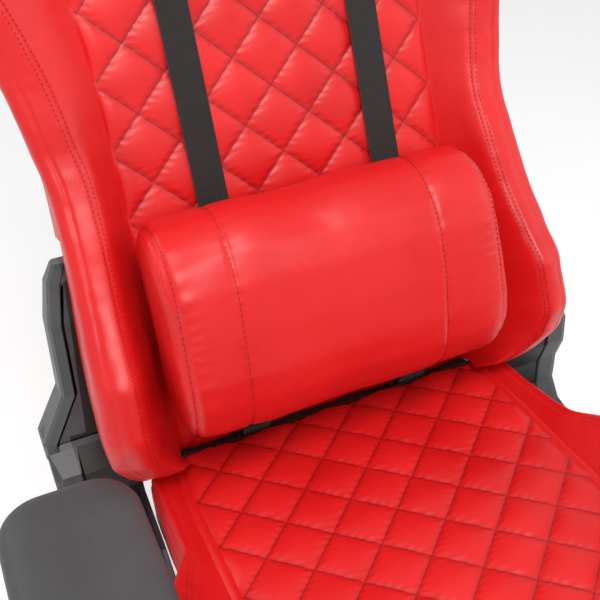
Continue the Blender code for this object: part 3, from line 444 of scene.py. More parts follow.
def webbing(name, turn):
    """Close-woven polyester webbing with a herringbone rib along its length."""
    m = Shader(name, Sheen_Weight=0.25, Specular_IOR_Level=0.25)
    where = m.turned(turn)
    x, _, up = m.split(where)[:3]
    across, along = m.math("MULTIPLY", x, 4200.0), m.math("MULTIPLY", up, 3400.0)
    zig = m.math("PINGPONG", m.math("MULTIPLY", x, 260.0), 1.0)
    weft = m.math("SINE", m.math("ADD", along, m.math("MULTIPLY", zig, 6.0)))
    warp = m.math("SINE", across)
    cloth = m.math("ADD", m.math("MULTIPLY", weft, 0.5), m.math("MULTIPLY", warp, 0.35))
    m.bump(cloth, 0.00035, 0.9)
    m.bump(m.noise(1500, 2), 0.0001, 0.5)
    tint = m.mix(m.span(cloth, -0.7, 0.7), linear(20, 18, 17), linear(50, 47, 45))
    return m.done(tint, m.span(m.noise(60), 0.3, 0.7, 0.66, 0.82))


STRIP_S = (0.060, 0.215)  # where the painted-shade strip of the hinge covers narrows, and its half widths there
STRIP_HALF = (0.249, 0.231)
STRIP_STEP = 0.016


def hinge_plastic(name):
    """The hinge covers: satin charcoal outside, with painted shade, near black, on the sunk strip beside the
    pad.
    """
    m = Shader(name, Specular_IOR_Level=0.5)
    x, y, z = m.split()[:3]
    from_y, from_z = m.math("SUBTRACT", y, float(JUNCTION[1])), m.math("SUBTRACT", z, float(JUNCTION[2]))
    s = m.math("ADD", m.math("MULTIPLY", from_y, float(BACK_UP[1])),
               m.math("MULTIPLY", from_z, float(BACK_UP[2])))
    low = m.math("LESS_THAN", s, STRIP_S[0])
    edge = m.math("ADD", m.span(s, *STRIP_S, *STRIP_HALF), m.math("MULTIPLY", low, STRIP_STEP))
    painted_shade_strip = m.math("LESS_THAN", m.math("ABSOLUTE", x), edge)
    grain, broad = m.noise(800, 3, 0.7), m.noise(16, 4)
    grey = m.mix(m.span(broad, 0.35, 0.7), linear(60, 62, 62), linear(72, 74, 74))
    # Painted shade: the sunk strip beside the pad is coloured near black for the shadow that falls there.
    tint = m.mix(painted_shade_strip, grey, linear(15, 13, 13))
    m.bump(grain, 0.00015, 0.8)
    return m.done(tint, m.span(broad, 0.3, 0.7, 0.40, 0.50))


RED, DEEP_RED = linear(224, 29, 30), linear(206, 18, 21)
red_leather = leather("red_leather", RED, DEEP_RED)
back_quilt = quilted_leather("quilted_back_leather", BACK_UP, BACK_LATTICE, RED, DEEP_RED)
seat_quilt = quilted_leather("quilted_seat_leather", SEAT_FORWARD, SEAT_LATTICE, RED, DEEP_RED)
thread_red = plastic("red_thread", linear(150, 14, 18), linear(120, 10, 14), 0.6, 3000)
thread_dark = plastic("dark_red_thread", linear(142, 14, 16), linear(120, 10, 12), 0.6, 3000)
# Painted shade: a dark red matte that stands for the shadow on the inside of the apron behind the seat.
apron_shade = plastic("apron_painted_shade", linear(70, 6, 8), linear(54, 4, 6), 0.9, 600)
SLOTS = {
    "leather": red_leather,
    "nylon": plastic("black_nylon", linear(44, 44, 45), linear(34, 34, 35), 0.44, 500),
    "cover_plastic": hinge_plastic("hinge_cover_plastic"),
    "wheel_plastic": plastic("wheel_plastic", linear(40, 40, 41), linear(28, 28, 29), 0.38, 900),
    "arm_foam": plastic("arm_foam_skin", linear(72, 72, 74), linear(60, 60, 62), 0.5, 1100, depth=0.0002),
    "steel": metal("powder_coated_steel", linear(42, 42, 43), linear(30, 30, 31), 0.42, 0.25),
    "bright_steel": metal("chromed_steel", linear(205, 206, 208), linear(180, 182, 184), 0.20, 1.0, 2600),
    "webbing": webbing("strap_webbing", RECLINE),
    "board": plastic("birch_board", linear(168, 132, 92), linear(140, 104, 68), 0.7, 260, depth=0.0004),
}

# The back.

sway = Ripple(3, 0.16)
crease = Ripple(5, 0.030)
fine_crease = Ripple(8, 0.012)


QUILT_SINK = 0.0030  # how deep the quilting seams lie


def quilt(a, b, level=0.0046):
    """Height of a diamond-quilted face, where a and b count its two sets of seams."""
    da, db = np.abs((a + 0.5) % 1 - 0.5), np.abs((b + 0.5) % 1 - 0.5)
    puff = np.sin(math.pi * da) ** 0.45 * np.sin(math.pi * db) ** 0.45
    near = ridge(np.minimum(da, db) - 0.06, 0.07)
    pucker = near * np.sin((a - b) * 27 + 2.1 * np.sin(5 * (a + b))) * 0.00030
    return -QUILT_SINK + level * puff + pucker


def lattice(across, along, centre, stretch):
    """The two seam counts at a place on a quilted face."""
    u, v = (across - centre[0]) / (DIAMOND / 2), (along - centre[1]) / (DIAMOND / 2 * stretch)
    return (u + v) / 2, (u - v) / 2


def panel_n(s):
    """How far the quilted panel stands out at s, round the foot too."""
    if s < PIVOT_S:
        return PIVOT_N + math.sqrt(max(FOOT_R ** 2 - (s - PIVOT_S) ** 2, 0))
    return -0.011 * max(0.0, (0.110 - s) / 0.08) ** 1.5


def rear_n(s):
    """Where the rear cover's outside lies at s."""
    if s < PIVOT_S:
        return PIVOT_N - math.sqrt(max(FOOT_R ** 2 - (s - PIVOT_S) ** 2, 0))
    return SHELL_REAR + 0.011 * max(0.0, (0.120 - s) / 0.09) ** 1.5


def back_side(s, half):
    """Half the width of the covers' flat sides, which is less between the hinges."""
    return HINGE_SIDE if s < HINGE_TOP else half - 0.006


def bolster_outline(s, half, panel, rise):
    """The side bolster across x, as (x, n), from the edge of the quilted panel to its outer underside."""
    crest, low = half - 0.030, panel_n(s)
    behind = float(np.interp(s, [u[0] for u in UNDERSIDE], [u[1] for u in UNDERSIDE]))
    if rise < behind + 0.02:
        behind = 0.2 * rise - 0.012
    run, lift = crest - panel, rise - low
    return [(panel, low - 0.003), (panel + 0.38 * run, low + 0.45 * lift),
            (crest - 0.010, low + 0.90 * lift), (crest + 0.004, rise), (half - 0.006, low + 0.90 * lift),
            (half, behind + 0.66 * (rise - behind)), (half - 0.003, behind)]


def seam_line(shape, run, x):
    """How far along a bolster's outline it first reaches x."""
    reached = np.maximum.accumulate(shape[:, 0])
    return float(np.interp(x, reached, run))


CREST_INSET, OUTER_INSET = 0.0345, 0.0130  # the bolster's two seams, in from its outer edge
ROW_SPREAD = 0.0026  # from a seam to the row of stitches at each side of it
BOLSTER_COLUMNS, PANEL_COLUMNS = ((80, 200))


def sewn_bolster(outline, seams, place, settle):
    """Points and outward directions across a bolster whose seams pull in; place turns (x, n) into 3-D."""
    shape = spline(outline, BOLSTER_COLUMNS)
    step = np.gradient(shape, axis=0)
    step /= np.linalg.norm(step, axis=1)[:, None]
    outward = np.column_stack([-step[:, 1], step[:, 0]])
    run = np.concatenate([[0], np.cumsum(np.linalg.norm(np.diff(shape, axis=0), axis=1))])
    points = place(shape)
    push = settle * (0.0011 * sway(points) + 0.00035 * crease(points))
    lines = []
    for x, depth in seams:
        at = seam_line(shape, run, x)
        lines.append(at)
        near = np.abs(run - at)
        push -= depth * ridge(near, 0.0018)
        push += 0.22 * depth * ridge(near, 0.010) * fine_crease(points)
    ends = np.clip(np.minimum(run, run[-1] - run) / 0.004, 0, 1)
    shape = shape + outward * (push * ends)[:, None]
    return shape, outward, run, lines


def ring_heights(first, count):
    """Where a cover of the back has its rings: round the foot, up to the head, and close about HINGE_TOP."""
    foot = [PIVOT_S - FOOT_R * math.sin(a) for a in np.radians(np.linspace(88, 48, 8))]
    return sorted(foot + list(np.linspace(first, 0.8565, count)) + [HINGE_TOP - 0.0006, HINGE_TOP + 0.0006])


def back_rings():
    """Rings of the front cover from the foot to the head, and the seam lines on it."""
    rings, rows = [], {}
    for s in ring_heights(0.0065, 430):
        foot = s < BACK_LEVELS[0][0]
        half, panel, rise = (0.199, PANEL, 0.014) if foot else smooth_row(BACK_LEVELS, s)
        side = FOOT_HALF if foot else min(back_side(s, half), half - 0.004)
        level = panel_n(s)
        x = np.linspace(-panel, panel, PANEL_COLUMNS)
        edge = np.clip((panel - np.abs(x)) / 0.010, 0, 1) ** 0.5
        a, b = lattice(x, s, *BACK_LATTICE)
        face = level - QUILT_SINK + (quilt(a, b) + QUILT_SINK) * edge
        shape = {}
        for sign in (-1, 1):
            if foot:
                flank = spline([(panel, level - 0.0034), (panel + 0.015, level - 0.001),
                                (0.1935, level - 0.002), (FOOT_HALF, (level + PAD_REAR) / 2)],
                               BOLSTER_COLUMNS)
            else:
                flank, outward, run, lines = sewn_bolster(
                    bolster_outline(s, half, panel, rise),
                    ((half - CREST_INSET, 0.0012), (half - OUTER_INSET, 0.0013)),
                    lambda at: back_point(sign * at[:, 0], s, at[:, 1]), 1.0)
                for name, at in (("crest", lines[0]), ("outer", lines[1])):
                    for shift in (-ROW_SPREAD, ROW_SPREAD):
                        spot = [np.interp(at + shift, run, flank[:, k]) for k in (0, 1)]
                        out = [np.interp(at + shift, run, outward[:, k]) for k in (0, 1)]
                        rows.setdefault((name, sign, shift), []).append(
                            (back_point(sign * spot[0], s, spot[1]),
                             sign * out[0] * X_AXIS + out[1] * BACK_OUT))
            under = flank[-1][1]
            tail = [(side, min(under - 0.002, PAD_REAR + 0.012)), (side, PAD_REAR + 0.004),
                    (side - 0.002, PAD_REAR)]
            shape[sign] = np.vstack([flank[1:], tail])
        ring = np.vstack([shape[-1][::-1] * (-1, 1), np.column_stack([x, face]), shape[1]])
        rings.append(back_point(ring[:, 0], s, ring[:, 1]))
    rings += rounded_top(rings[-1], back_point(0, BACK_TOP_S, -0.022), 0.45, np.linspace(0.12, 1, 9))
    return rings, rows


def rounded_top(last, top, draw_in, shares):
    """Rings that close a cover of the back over its head, from its last ring in towards top."""
    rings = []
    for share in shares:
        shrink = 1 - draw_in * share ** 2.2
        rings.append(top + (last - top) * shrink + 0.007 * math.sin(share * math.pi / 2) * BACK_UP)
    return rings


def seam_runs(rows, wanted):
    """The stitch rows called wanted, as (points, outward) pairs."""
    return [([p for p, _ in row], [o for _, o in row]) for key, row in rows.items() if key[0] == wanted]


def quilt_runs(centre, stretch, half_at, low, high, place, outward, step=0.004):
    """Stitch rows along both sets of quilting seams, inside |across| < half_at(along)."""
    runs = []
    for way in (1, -1):
        for k in range(-40, 60):
            row = []
            for along in np.arange(low, high, step):
                v = (along - centre[1]) / (DIAMOND / 2 * stretch)
                across = centre[0] + DIAMOND / 2 * (2 * k - way * v)
                if abs(across) < half_at(along) - 0.004:
                    row.append(place(across, along))
            if len(row) > 3:
                runs.append((row, [outward] * len(row)))
    return runs


def harness_corners(side, out):
    """The corners of a harness slot, as (x, s), grown by out."""
    corners = [(0.050 - out, 0.610 - out), (0.128 + out, 0.628 - out), (0.134 + out, 0.672 + out),
               (0.056 - out, 0.654 + out)]
    return [(side * x, s) for x, s in corners]


def rounded_loop(corners, radius, steps=5):
    """A closed outline through corners with each one rounded."""
    points = []
    corners = [np.array(c, float) for c in corners]
    for i, here in enumerate(corners):
        before, after = corners[i - 1], corners[(i + 1) % len(corners)]
        a = here + (before - here) / np.linalg.norm(before - here) * radius
        b = here + (after - here) / np.linalg.norm(after - here) * radius
        for t in np.linspace(0, 1, steps + 1):
            points.append(a * (1 - t) ** 2 + 2 * here * t * (1 - t) + b * t * t)
    return np.array(points)


def cut_slots(obj):
    """Cuts the two harness slots through a cover of the back."""
    for side in (-1, 1):
        loop = rounded_loop(harness_corners(side, 0.0), 0.010)
        cutter = grid_mesh("slot_cutter", [back_point(loop[:, 0], loop[:, 1], n) for n in (0.06, -0.13)])
        made = obj.modifiers.new("slot", "BOOLEAN")
        made.operation, made.solver, made.object = "DIFFERENCE", "EXACT", cutter
        mesh = evaluated_mesh(obj)
        obj.modifiers.clear()
        obj.data = mesh
        bpy.data.objects.remove(cutter)
    obj.data.set_sharp_from_angle(angle=SHARP)


rings, rows = back_rings()
back_leather = grid_mesh("back_leather", rings)
cut_slots(back_leather)


def on_back_panel(points):
    """Which points lie on the quilted front of the back."""
    x, s, n = back_frame_of(points).T
    half = np.interp(s, [row[0] for row in BACK_LEVELS], [row[2] for row in BACK_LEVELS])
    return (np.abs(x) < half - 0.0012) & (n > -0.012) & (s > 0.012) & (s < 0.857)


placed(back_leather, "back", red_leather, ["back_pad"], (back_quilt, on_back_panel))
bolster_thread = stitches("bolster_stitches", seam_runs(rows, "crest"), long=0.0037, thick=0.00050)
placed(bolster_thread, "back", thread_dark)


def panel_half(s):
    return smooth_row(BACK_LEVELS, s)[1] if s > BACK_LEVELS[0][0] else PANEL


def clear_of_slots(run):
    """A stitch row without its points near the harness slots."""
    return [(p, o) for p, o in zip(*run)
            if not (0.600 < (p - JUNCTION) @ BACK_UP < 0.682 and 0.044 < abs(p[0]) < 0.140)]


quilted = quilt_runs(*BACK_LATTICE, panel_half, 0.02, 0.85,
                     lambda x, s: back_point(x, s, panel_n(s) - 0.0029), BACK_OUT)
quilted = [tuple(zip(*kept)) for kept in map(clear_of_slots, quilted) if len(kept) > 3]
placed(stitches("back_quilt_stitches", quilted, thick=0.00036), "back", thread_red)


def shell_rings():
    """Rings of the rear cover, with its edges rolled over."""
    rings = []
    front = PAD_REAR - 0.0005
    for s in ring_heights(0.006, 170):
        foot = s < BACK_LEVELS[0][0]
        half = 0.199 if foot else smooth_row(BACK_LEVELS, s)[0]
        side = FOOT_HALF if foot else min(back_side(s, half), half - 0.004)
        rear = rear_n(s)
        soft = 0.0005 if foot else min(0.022, 0.3 * (PAD_REAR - rear))
        corner = spline([(side, front), (side, (front + rear + soft) / 2), (side, rear + soft),
                         (side - 0.35 * soft, rear + 0.3 * soft), (side - 1.2 * soft, rear)], 30)
        flat = np.linspace(corner[-1][0], 0, 40)[1:]
        seam = 0.0012 * ridge(flat - 0.115 * side / 0.23, 0.0018)
        half_ring = np.vstack([corner, np.column_stack([flat, np.full(len(flat), rear) + seam])])
        ring = np.vstack([half_ring, half_ring[-2::-1] * (-1, 1)])
        points = back_point(ring[:, 0], s, ring[:, 1])
        inward = np.clip((np.abs(ring[:, 1] - front) - 0.01) / 0.02, 0, 1)
        points -= (0.0007 * (sway(points) - 0.9) * inward)[:, None] * BACK_OUT
        rings.append(points)
    return rings + rounded_top(rings[-1], back_point(0, 0.868, -0.066), 0.30, np.linspace(0.15, 1, 7))


shell = grid_mesh("back_rear_leather", shell_rings())
cut_slots(shell)
placed(shell, "back", red_leather, ["back_shell"])
for label, side in (("right", -1), ("left", 1)):
    loop = rounded_loop(harness_corners(side, 0.0012), 0.0115, 8)
    for place, n in (("front", 0.0012), ("rear", SHELL_REAR - 0.0005)):
        path = back_point(loop[:, 0], loop[:, 1], n)
        rim = tube_mesh(f"harness_rim_{place}_{label}", path, 0.0034, sides=10)
        placed(rim, "back", SLOTS["nylon"])

# The seat.


def seat_outline(half, panel, rise, fall, bottom):
    """The seat's bolster across x, as (x, h), from the edge of its panel to its lower edge."""
    wide, top = half - panel, -fall
    deep = min(0.028, (bottom - fall) * 0.4)
    return [(panel, top - 0.0025), (panel + 0.30 * wide, top + 0.45 * rise),
            (panel + 0.62 * wide, top + 0.95 * rise), (half - 0.16 * wide, top + 0.90 * rise),
            (half, top + 0.3 * rise - 0.5 * deep),
            (half + 0.0005, (top - bottom) * 0.45), (half, -bottom + deep), (half - 0.004, -bottom + 0.006),
            (half - 0.010, -bottom)]


HOLLOW_HALF, HOLLOW_ROOF = 0.186, -0.050  # the hollow under the seat that takes its frame and board
HOLLOW_Q = (0.0342, 0.4698)
BORDER = 0.0095  # width of the strip round the quilted panel


def seat_rings():
    """Rings of the seat's cover from its rear to its rounded front edge, and its seam lines."""
    reach = list(np.linspace(-0.0132, 0.470, 250))
    reach += list(0.470 + 0.047 * (1 - (1 - np.linspace(0, 1, 36)[1:]) ** 2.0))
    reach += [q + shift for q in HOLLOW_Q for shift in (-0.0004, 0.0004)]
    rings, rows = [], {}
    for q in sorted(reach):
        half, panel, rise, fall, bottom = smooth_row(SEAT_LEVELS, q)
        x = np.linspace(-panel, panel, PANEL_COLUMNS)
        a, b = lattice(x, q, *SEAT_LATTICE)
        room = np.clip((panel - BORDER - np.abs(x)) / 0.008, 0, 1) ** 0.5
        fade = float(np.clip((0.498 - q) / 0.02, 0, 1))
        strip = ridge(np.abs(x) - (panel - BORDER / 2), BORDER * 0.40) * 0.0024
        face = -fall - QUILT_SINK + (quilt(a, b, 0.0050) + QUILT_SINK) * room * fade + strip
        shape = {}
        for sign in (-1, 1):
            wide = half - panel
            flank, outward, run, lines = sewn_bolster(
                seat_outline(half, panel, rise, fall, bottom),
                ((panel + 0.55 * wide, 0.0011), (half - 0.0008, 0.0012)),
                lambda at: seat_point(sign * at[:, 0], q, at[:, 1]), 0.8)
            for shift in (-ROW_SPREAD, ROW_SPREAD):
                spot = [np.interp(lines[0] + shift, run, flank[:, k]) for k in (0, 1)]
                out = [np.interp(lines[0] + shift, run, outward[:, k]) for k in (0, 1)]
                if 0.14 < q < 0.50:
                    rows.setdefault(("crest", sign, shift), []).append(
                        (seat_point(sign * spot[0], q, spot[1]), sign * out[0] * X_AXIS + out[1] * SEAT_UP))
            if 0.0 < q < 0.49:
                rows.setdefault(("border", sign, 0), []).append(
                    (seat_point(sign * (panel - BORDER), q, -fall - QUILT_SINK), SEAT_UP))
            roof = HOLLOW_ROOF if HOLLOW_Q[0] < q < HOLLOW_Q[1] else -bottom
            lip = min(HOLLOW_HALF, flank[-1][0] - 0.003)
            tail = [(lip, -bottom), (lip, roof), (0.08, roof)]
            shape[sign] = np.vstack([flank[1:], tail])
        ring = np.vstack([shape[-1][::-1] * (-1, 1), np.column_stack([x, face]), shape[1]])
        rings.append(seat_point(ring[:, 0], q, ring[:, 1]))
    middle = seat_point(0, 0.519, -0.058)
    for share in np.linspace(0.2, 1, 5):
        rings.append(middle + (rings[-1] - middle) * (1 - 0.10 * share) + 0.0008 * SEAT_FORWARD)
    return rings, rows


def rear_apron():
    """A leather flap under the foot of the back, round its pivot, that closes the gap behind the seat; it is
    coloured dark as painted shade.
    """
    rings = []
    turns = np.linspace(math.radians(-24), math.radians(-112), 26)
    outline = [(0.0420, a) for a in turns] + [(0.0440, a) for a in turns[::-1]]
    middle = back_point(0, PIVOT_S, PIVOT_N)
    for x in np.linspace(-0.184, 0.184, 60):
        rings.append([middle + x * X_AXIS + r * (math.cos(a) * SEAT_FORWARD + math.sin(a) * SEAT_UP)
                      for r, a in outline])
    return grid_mesh("rear_apron", rings)


def joined(obj, other):
    """Adds other's mesh to obj's and removes other."""
    bm = bmesh.new()
    bm.from_mesh(obj.data)
    bm.from_mesh(other.data)
    bm.to_mesh(obj.data)
    bm.free()
    bpy.data.objects.remove(other)


rings, rows = seat_rings()
seat_leather = grid_mesh("seat_leather", rings)
joined(seat_leather, rear_apron())


def on_seat_panel(points):
    """Which points lie on the seat's quilted panel."""
    away = points - JUNCTION
    q, h = away @ SEAT_FORWARD, away @ SEAT_UP
    half = np.interp(q, [row[0] for row in SEAT_LEVELS], [row[2] for row in SEAT_LEVELS])
    return (np.abs(away[:, 0]) < half - BORDER) & (h > -0.030) & (q > -0.01) & (q < 0.496)


placed(seat_leather, "seat", red_leather, ["seat_cushion"], (seat_quilt, on_seat_panel))

# The apron, whose faces all lie within APRON_REACH of the recline axis, takes painted shade: a dark red
# matte for the shadow behind the seat.
APRON_REACH = 0.0446
seat_leather.data.materials.append(apron_shade)
for face in seat_leather.data.polygons:
    away = np.array(face.center) - back_point(0, PIVOT_S, PIVOT_N)
    if np.hypot(away[1], away[2]) < APRON_REACH and face.center[2] < JUNCTION[2]:
        face.material_index = 2
bolster_thread = stitches("seat_bolster_stitches", seam_runs(rows, "crest"), long=0.0037)
placed(bolster_thread, "seat", thread_dark)
border_thread = stitches("seat_border_stitches", seam_runs(rows, "border"), thick=0.0004)
placed(border_thread, "seat", thread_red)


def seat_half(q):
    return smooth_row(SEAT_LEVELS, q)[1] - BORDER


def seat_fall(q):
    return smooth_row(SEAT_LEVELS, q)[3]


quilted = quilt_runs(*SEAT_LATTICE, seat_half, 0.0, 0.485,
                     lambda x, q: seat_point(x, q, -seat_fall(q) - QUILT_SINK), SEAT_UP)
placed(stitches("seat_quilt_stitches", quilted, thick=0.00036), "seat", thread_red)

# The lumbar pillow.

PILLOW_SEAMS = (-0.108, 0.088)
PILLOW_MIDDLE = (-0.006, 0.157, 0.060)
PILLOW_HALF = 0.164
END_SEAM = 0.009  # from the pillow's end to the seam round it
SEAM_SWAY = 0.003
PILLOW_BACK = 0.0088  # how close the pillow comes to the back
SWELL_CAP = 0.008
CUT_SHARE = 0.75  # how far the swollen pillow is drawn back to the shape it was cut to
PILLOW_FULLER_LOW = np.array((0.001, 0.0105, 0.0))  # how far it ends up outside that shape, along x, s and n
PILLOW_FULLER_HIGH = np.array((0.001, 0.0035, 0.003))


def mesh_points(mesh):
    flat = np.empty(len(mesh.vertices) * 3)
    mesh.vertices.foreach_get("co", flat)
    return flat.reshape(-1, 3)


def set_points(mesh, points):
    mesh.vertices.foreach_set("co", np.ascontiguousarray(points).ravel())
    mesh.update()


def swollen_pillow():
    """The pillow's cut shape with some of the swelling of a cloth simulation, brought to its full size."""
    obj = bpy.data.objects.new("lumbar_pillow_leather", nodes["lumbar_pillow"].data.copy())
    bpy.context.scene.collection.objects.link(obj)
    remesh = obj.modifiers.new("remesh", "REMESH")
    remesh.mode, remesh.voxel_size = "VOXEL", 0.005
    obj.data = evaluated_mesh(obj)
    obj.modifiers.clear()
    points = mesh_points(obj.data)
    middle = back_point(*PILLOW_MIDDLE)
    start = middle + (points - middle) * (0.985, 0.975, 0.975)
    set_points(obj.data, start)
    scene = bpy.context.scene
    cloth = obj.modifiers.new("cloth", "CLOTH")
    cloth.settings.use_pressure = True
    cloth.settings.uniform_pressure_force = 4.0
    cloth.settings.effector_weights.gravity = 0.0
    cloth.settings.tension_stiffness = 40
    cloth.settings.compression_stiffness = 12
    cloth.settings.bending_stiffness = 0.6
    cloth.point_cache.frame_start, cloth.point_cache.frame_end = 1, 20
    for number in range(1, 21):
        scene.frame_set(number)
    moved = mesh_points(evaluated_mesh(obj)) - start
    obj.modifiers.clear()
    scene.frame_set(1)
    far = np.linalg.norm(moved, axis=1)
    moved *= (np.minimum(far, SWELL_CAP) / np.maximum(far, 1e-9))[:, None]
    set_points(obj.data, start + moved)
    cut_shape = BVHTree.FromPolygons([v.co for v in nodes["lumbar_pillow"].data.vertices],
                                     [tuple(f.vertices) for f in nodes["lumbar_pillow"].data.polygons])
    swollen = mesh_points(obj.data)
    cut = np.array([cut_shape.find_nearest(Vector(point))[0] for point in swollen])
    set_points(obj.data, swollen + (cut - swollen) * CUT_SHARE)
    smooth = obj.modifiers.new("smooth", "SMOOTH")
    smooth.factor, smooth.iterations = 0.5, 6
    finer = obj.modifiers.new("finer", "SUBSURF")
    finer.levels = finer.render_levels = 1
    obj.data = evaluated_mesh(obj)
    obj.modifiers.clear()
    filled, swollen = back_frame_of(points), back_frame_of(mesh_points(obj.data))
    low, high = filled.min(axis=0) - PILLOW_FULLER_LOW, filled.max(axis=0) + PILLOW_FULLER_HIGH
    share = (swollen - swollen.min(axis=0)) / np.ptp(swollen, axis=0)
    set_points(obj.data, back_point(*(low + share * (high - low)).T))
    return obj


def sewn_pillow():
    """The swollen pillow with seams and puckers, kept clear of the back and inside its length."""
    obj = swollen_pillow()
    points = mesh_points(obj.data)
    normals = np.empty(len(points) * 3)
    obj.data.vertices.foreach_get("normal", normals)
    normals = normals.reshape(-1, 3)
    x, s, n = back_frame_of(points).T
    turn = np.arctan2(s - PILLOW_MIDDLE[1], n - PILLOW_MIDDLE[2])
    push = np.zeros(len(points))
    for seam in PILLOW_SEAMS:
        near = np.abs(x - seam - SEAM_SWAY * np.sin(turn))
        push -= 0.0016 * ridge(near, 0.0022)
        push -= 0.0010 * ridge(near, 0.012)
        push += 0.00016 * ridge(near, 0.008) * np.sin(turn * 46 + 3 * np.sin(turn * 5))
    for end in (-1, 1):
        from_end = PILLOW_HALF - END_SEAM - end * (x - PILLOW_MIDDLE[0])
        radial = np.abs(normals[:, 0]) < 0.75
        push -= 0.0018 * ridge(from_end, 0.0024) * radial
        wave = np.sin(turn * 31 + 4 * np.sin(turn * 3) + end)
        push += 0.00035 * ridge(from_end - 0.008, 0.010) * radial * wave
    slack = Ripple(21, 0.11)
    push += 0.0016 * slack(points) + 0.0005 * Ripple(22, 0.04)(points)
    push += 0.0020 * ridge(np.cos(turn - 1.25) - 1, 0.06) * np.sin(x * 62 + 0.8)
    points = points + normals * push[:, None]
    x, s, n = back_frame_of(points).T
    n = np.where(n < PILLOW_BACK, PILLOW_BACK - (PILLOW_BACK - n) * 0.02, n)
    x = np.clip(x, PILLOW_MIDDLE[0] - PILLOW_HALF - 0.004, PILLOW_MIDDLE[0] + PILLOW_HALF + 0.004)
    set_points(obj.data, back_point(x, s, n))
    obj.data.shade_smooth()
    return obj


def seam_on(tree, x, steps=170):
    """A row of places round the pillow at x, found on its surface from outside."""
    points, outward = [], []
    for turn in np.linspace(-0.62 * math.pi, 0.62 * math.pi, steps):
        away = math.sin(turn) * BACK_UP + math.cos(turn) * BACK_OUT
        middle = back_point(x + SEAM_SWAY * math.sin(turn), PILLOW_MIDDLE[1], PILLOW_MIDDLE[2])
        hit, normal, _, _ = tree.ray_cast(Vector(middle + away * 0.2), Vector(-away))
        if hit is not None:
            points.append(np.array(hit))
            outward.append(np.array(normal))
    return points, outward


pillow = sewn_pillow()
surface = BVHTree.FromObject(pillow, bpy.context.evaluated_depsgraph_get())
seam_places = PILLOW_SEAMS + tuple(PILLOW_MIDDLE[0] + end * (PILLOW_HALF - END_SEAM) for end in (-1, 1))
placed(pillow, "pillow", red_leather, ["lumbar_pillow"])
pillow_rows = [seam_on(surface, x) for x in seam_places]
placed(stitches("pillow_stitches", pillow_rows, 0.0050, 0.0042, 0.00042), "pillow", thread_dark)

# The armrest pads.

PAD_CORNER = 0.034


def arm_pad(label):
    """A moulded foam pad: crowned on top, with a moulding line round its side."""
    low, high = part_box(f"arm_pad_{label}")
    low, high = np.array(low), np.array(high)
    middle, size = (low + high) / 2, high - low
    rings = []
    profile = [(0.010, 0.0), (0.004, 0.0), (0.0014, 0.0012), (0.0, 0.005), (0.0, 0.0095), (0.0009, 0.0102),
               (0.0009, 0.0108), (0.0, 0.0115), (0.0004, 0.0160), (0.0024, 0.0205), (0.0062, 0.0240),
               (0.0120, 0.0262), (0.0200, 0.0273), (0.0300, 0.0278), (0.0400, 0.0280), (0.0470, 0.0280)]
    for inset, height in profile:
        wide, deep = size[0] / 2 - inset, size[1] / 2 - inset
        corner = max(PAD_CORNER - inset, 0.0015)
        ring = []
        for cx, cy, start in ((1, 1, 0), (-1, 1, 90), (-1, -1, 180), (1, -1, 270)):
            for a in np.radians(np.linspace(start, start + 90, 14)):
                ring.append((middle[0] + cx * (wide - corner) + corner * math.cos(a),
                             middle[1] + cy * (deep - corner) + corner * math.sin(a), low[2] + height))
        rings.append(ring)
    obj = grid_mesh(f"arm_pad_foam_{label}", rings)
    body = nodes[f"arm_pad_{label}"]["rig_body"]
    placed(obj, body, SLOTS["arm_foam"], [f"arm_pad_{label}"])


for label in ("left", "right"):
    arm_pad(label)

# The hard parts keep their CAD shape, with soft edges and the right finish.

SHOWN_AS_PIECES = {"back_pad", "back_shell", "seat_cushion", "lumbar_pillow", "arm_pad_left",
                   "arm_pad_right"}
slot_of = {part["node"]: part["material_slot"] for part in frame["record"]["subparts"]}
SOFT_EDGE = {"cover_plastic": 0.0012, "nylon": 0.0007, "wheel_plastic": 0.0006, "steel": 0.0006,
             "board": 0.0008}
for name, obj in nodes.items():
    if name in SHOWN_AS_PIECES:
        continue
    obj.data.materials.clear()
    obj.data.materials.append(SLOTS[slot_of[name]])
    width = SOFT_EDGE.get(slot_of[name])
    if width:
        weld = obj.modifiers.new("weld", "WELD")
        weld.merge_threshold = 0.00002
        edge = obj.modifiers.new("soft_edge", "BEVEL")
        edge.width, edge.segments = width, 2
        edge.limit_method, edge.angle_limit = "ANGLE", math.radians(38)
        edge.harden_normals = False

# Floor, light and camera.

bpy.ops.mesh.primitive_plane_add(size=9, location=(0, 0, 0))
floor = bpy.context.object
floor.name = "floor"
floor_paint = Shader("floor_paint", Specular_IOR_Level=0.2, Emission_Color=(1, 1, 1, 1),
                     Emission_Strength=0.16)  # a faint glow, which keeps the floor near white
floor_tint = floor_paint.mix(floor_paint.noise(3), linear(240, 240, 240), linear(246, 246, 246))
floor.data.materials.append(floor_paint.done(floor_tint, 0.7))

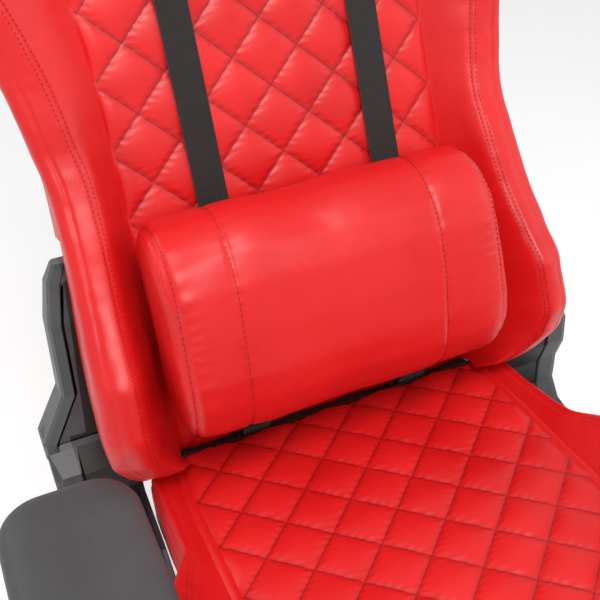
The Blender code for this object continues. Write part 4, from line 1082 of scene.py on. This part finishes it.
world = bpy.data.worlds.new("studio")
bpy.context.scene.world = world
world.use_nodes = True
world.node_tree.nodes["Background"].inputs["Color"].default_value = (1, 1, 1, 1)
world.node_tree.nodes["Background"].inputs["Strength"].default_value = 0.66


def lamp(name, place, aim, size, power):
    data = bpy.data.lights.new(name, "AREA")
    data.shape, data.size, data.energy = "DISK", size, power
    obj = bpy.data.objects.new(name, data)
    obj.location = place
    obj.rotation_mode = "QUATERNION"
    obj.rotation_quaternion = (Vector(aim) - Vector(place)).to_track_quat("-Z", "Y")
    bpy.context.scene.collection.objects.link(obj)


MIDDLE = (0.0, 0.05, 0.6)
lamp("key", (-0.3, -1.1, 2.6), MIDDLE, 1.1, 36)
lamp("fill", (2.2, -1.0, 1.6), MIDDLE, 1.8, 10)
lamp("rim", (-1.6, 1.4, 2.0), MIDDLE, 1.2, 8)
bpy.context.scene.view_settings.view_transform = "Standard"

CAMERA_FROM_JUNCTION = Vector((-0.3015, -0.6747, 0.6983))
CAMERA_AZIMUTH, CAMERA_TILT, CAMERA_ROLL = (math.radians(a) for a in (21.6869, 36.6126, -3.0692))
LENS, SENSOR = 57.874, 36.0


def aim_camera():
    sin_a, cos_a = math.sin(CAMERA_AZIMUTH), math.cos(CAMERA_AZIMUTH)
    ahead = Vector((sin_a * math.cos(CAMERA_TILT), cos_a * math.cos(CAMERA_TILT), -math.sin(CAMERA_TILT)))
    right = Vector((cos_a, -sin_a, 0))
    up = right.cross(ahead)
    x = right * math.cos(CAMERA_ROLL) + up * math.sin(CAMERA_ROLL)
    y = -right * math.sin(CAMERA_ROLL) + up * math.cos(CAMERA_ROLL)
    data = bpy.data.cameras.new("camera")
    data.lens, data.sensor_width, data.clip_start = LENS, SENSOR, 0.01
    obj = bpy.data.objects.new("camera", data)
    turn = Matrix((x, y, -ahead)).transposed().to_4x4()
    obj.matrix_world = Matrix.Translation(Vector(JUNCTION) + CAMERA_FROM_JUNCTION) @ turn
    bpy.context.scene.collection.objects.link(obj)
    bpy.context.scene.camera = obj


aim_camera()
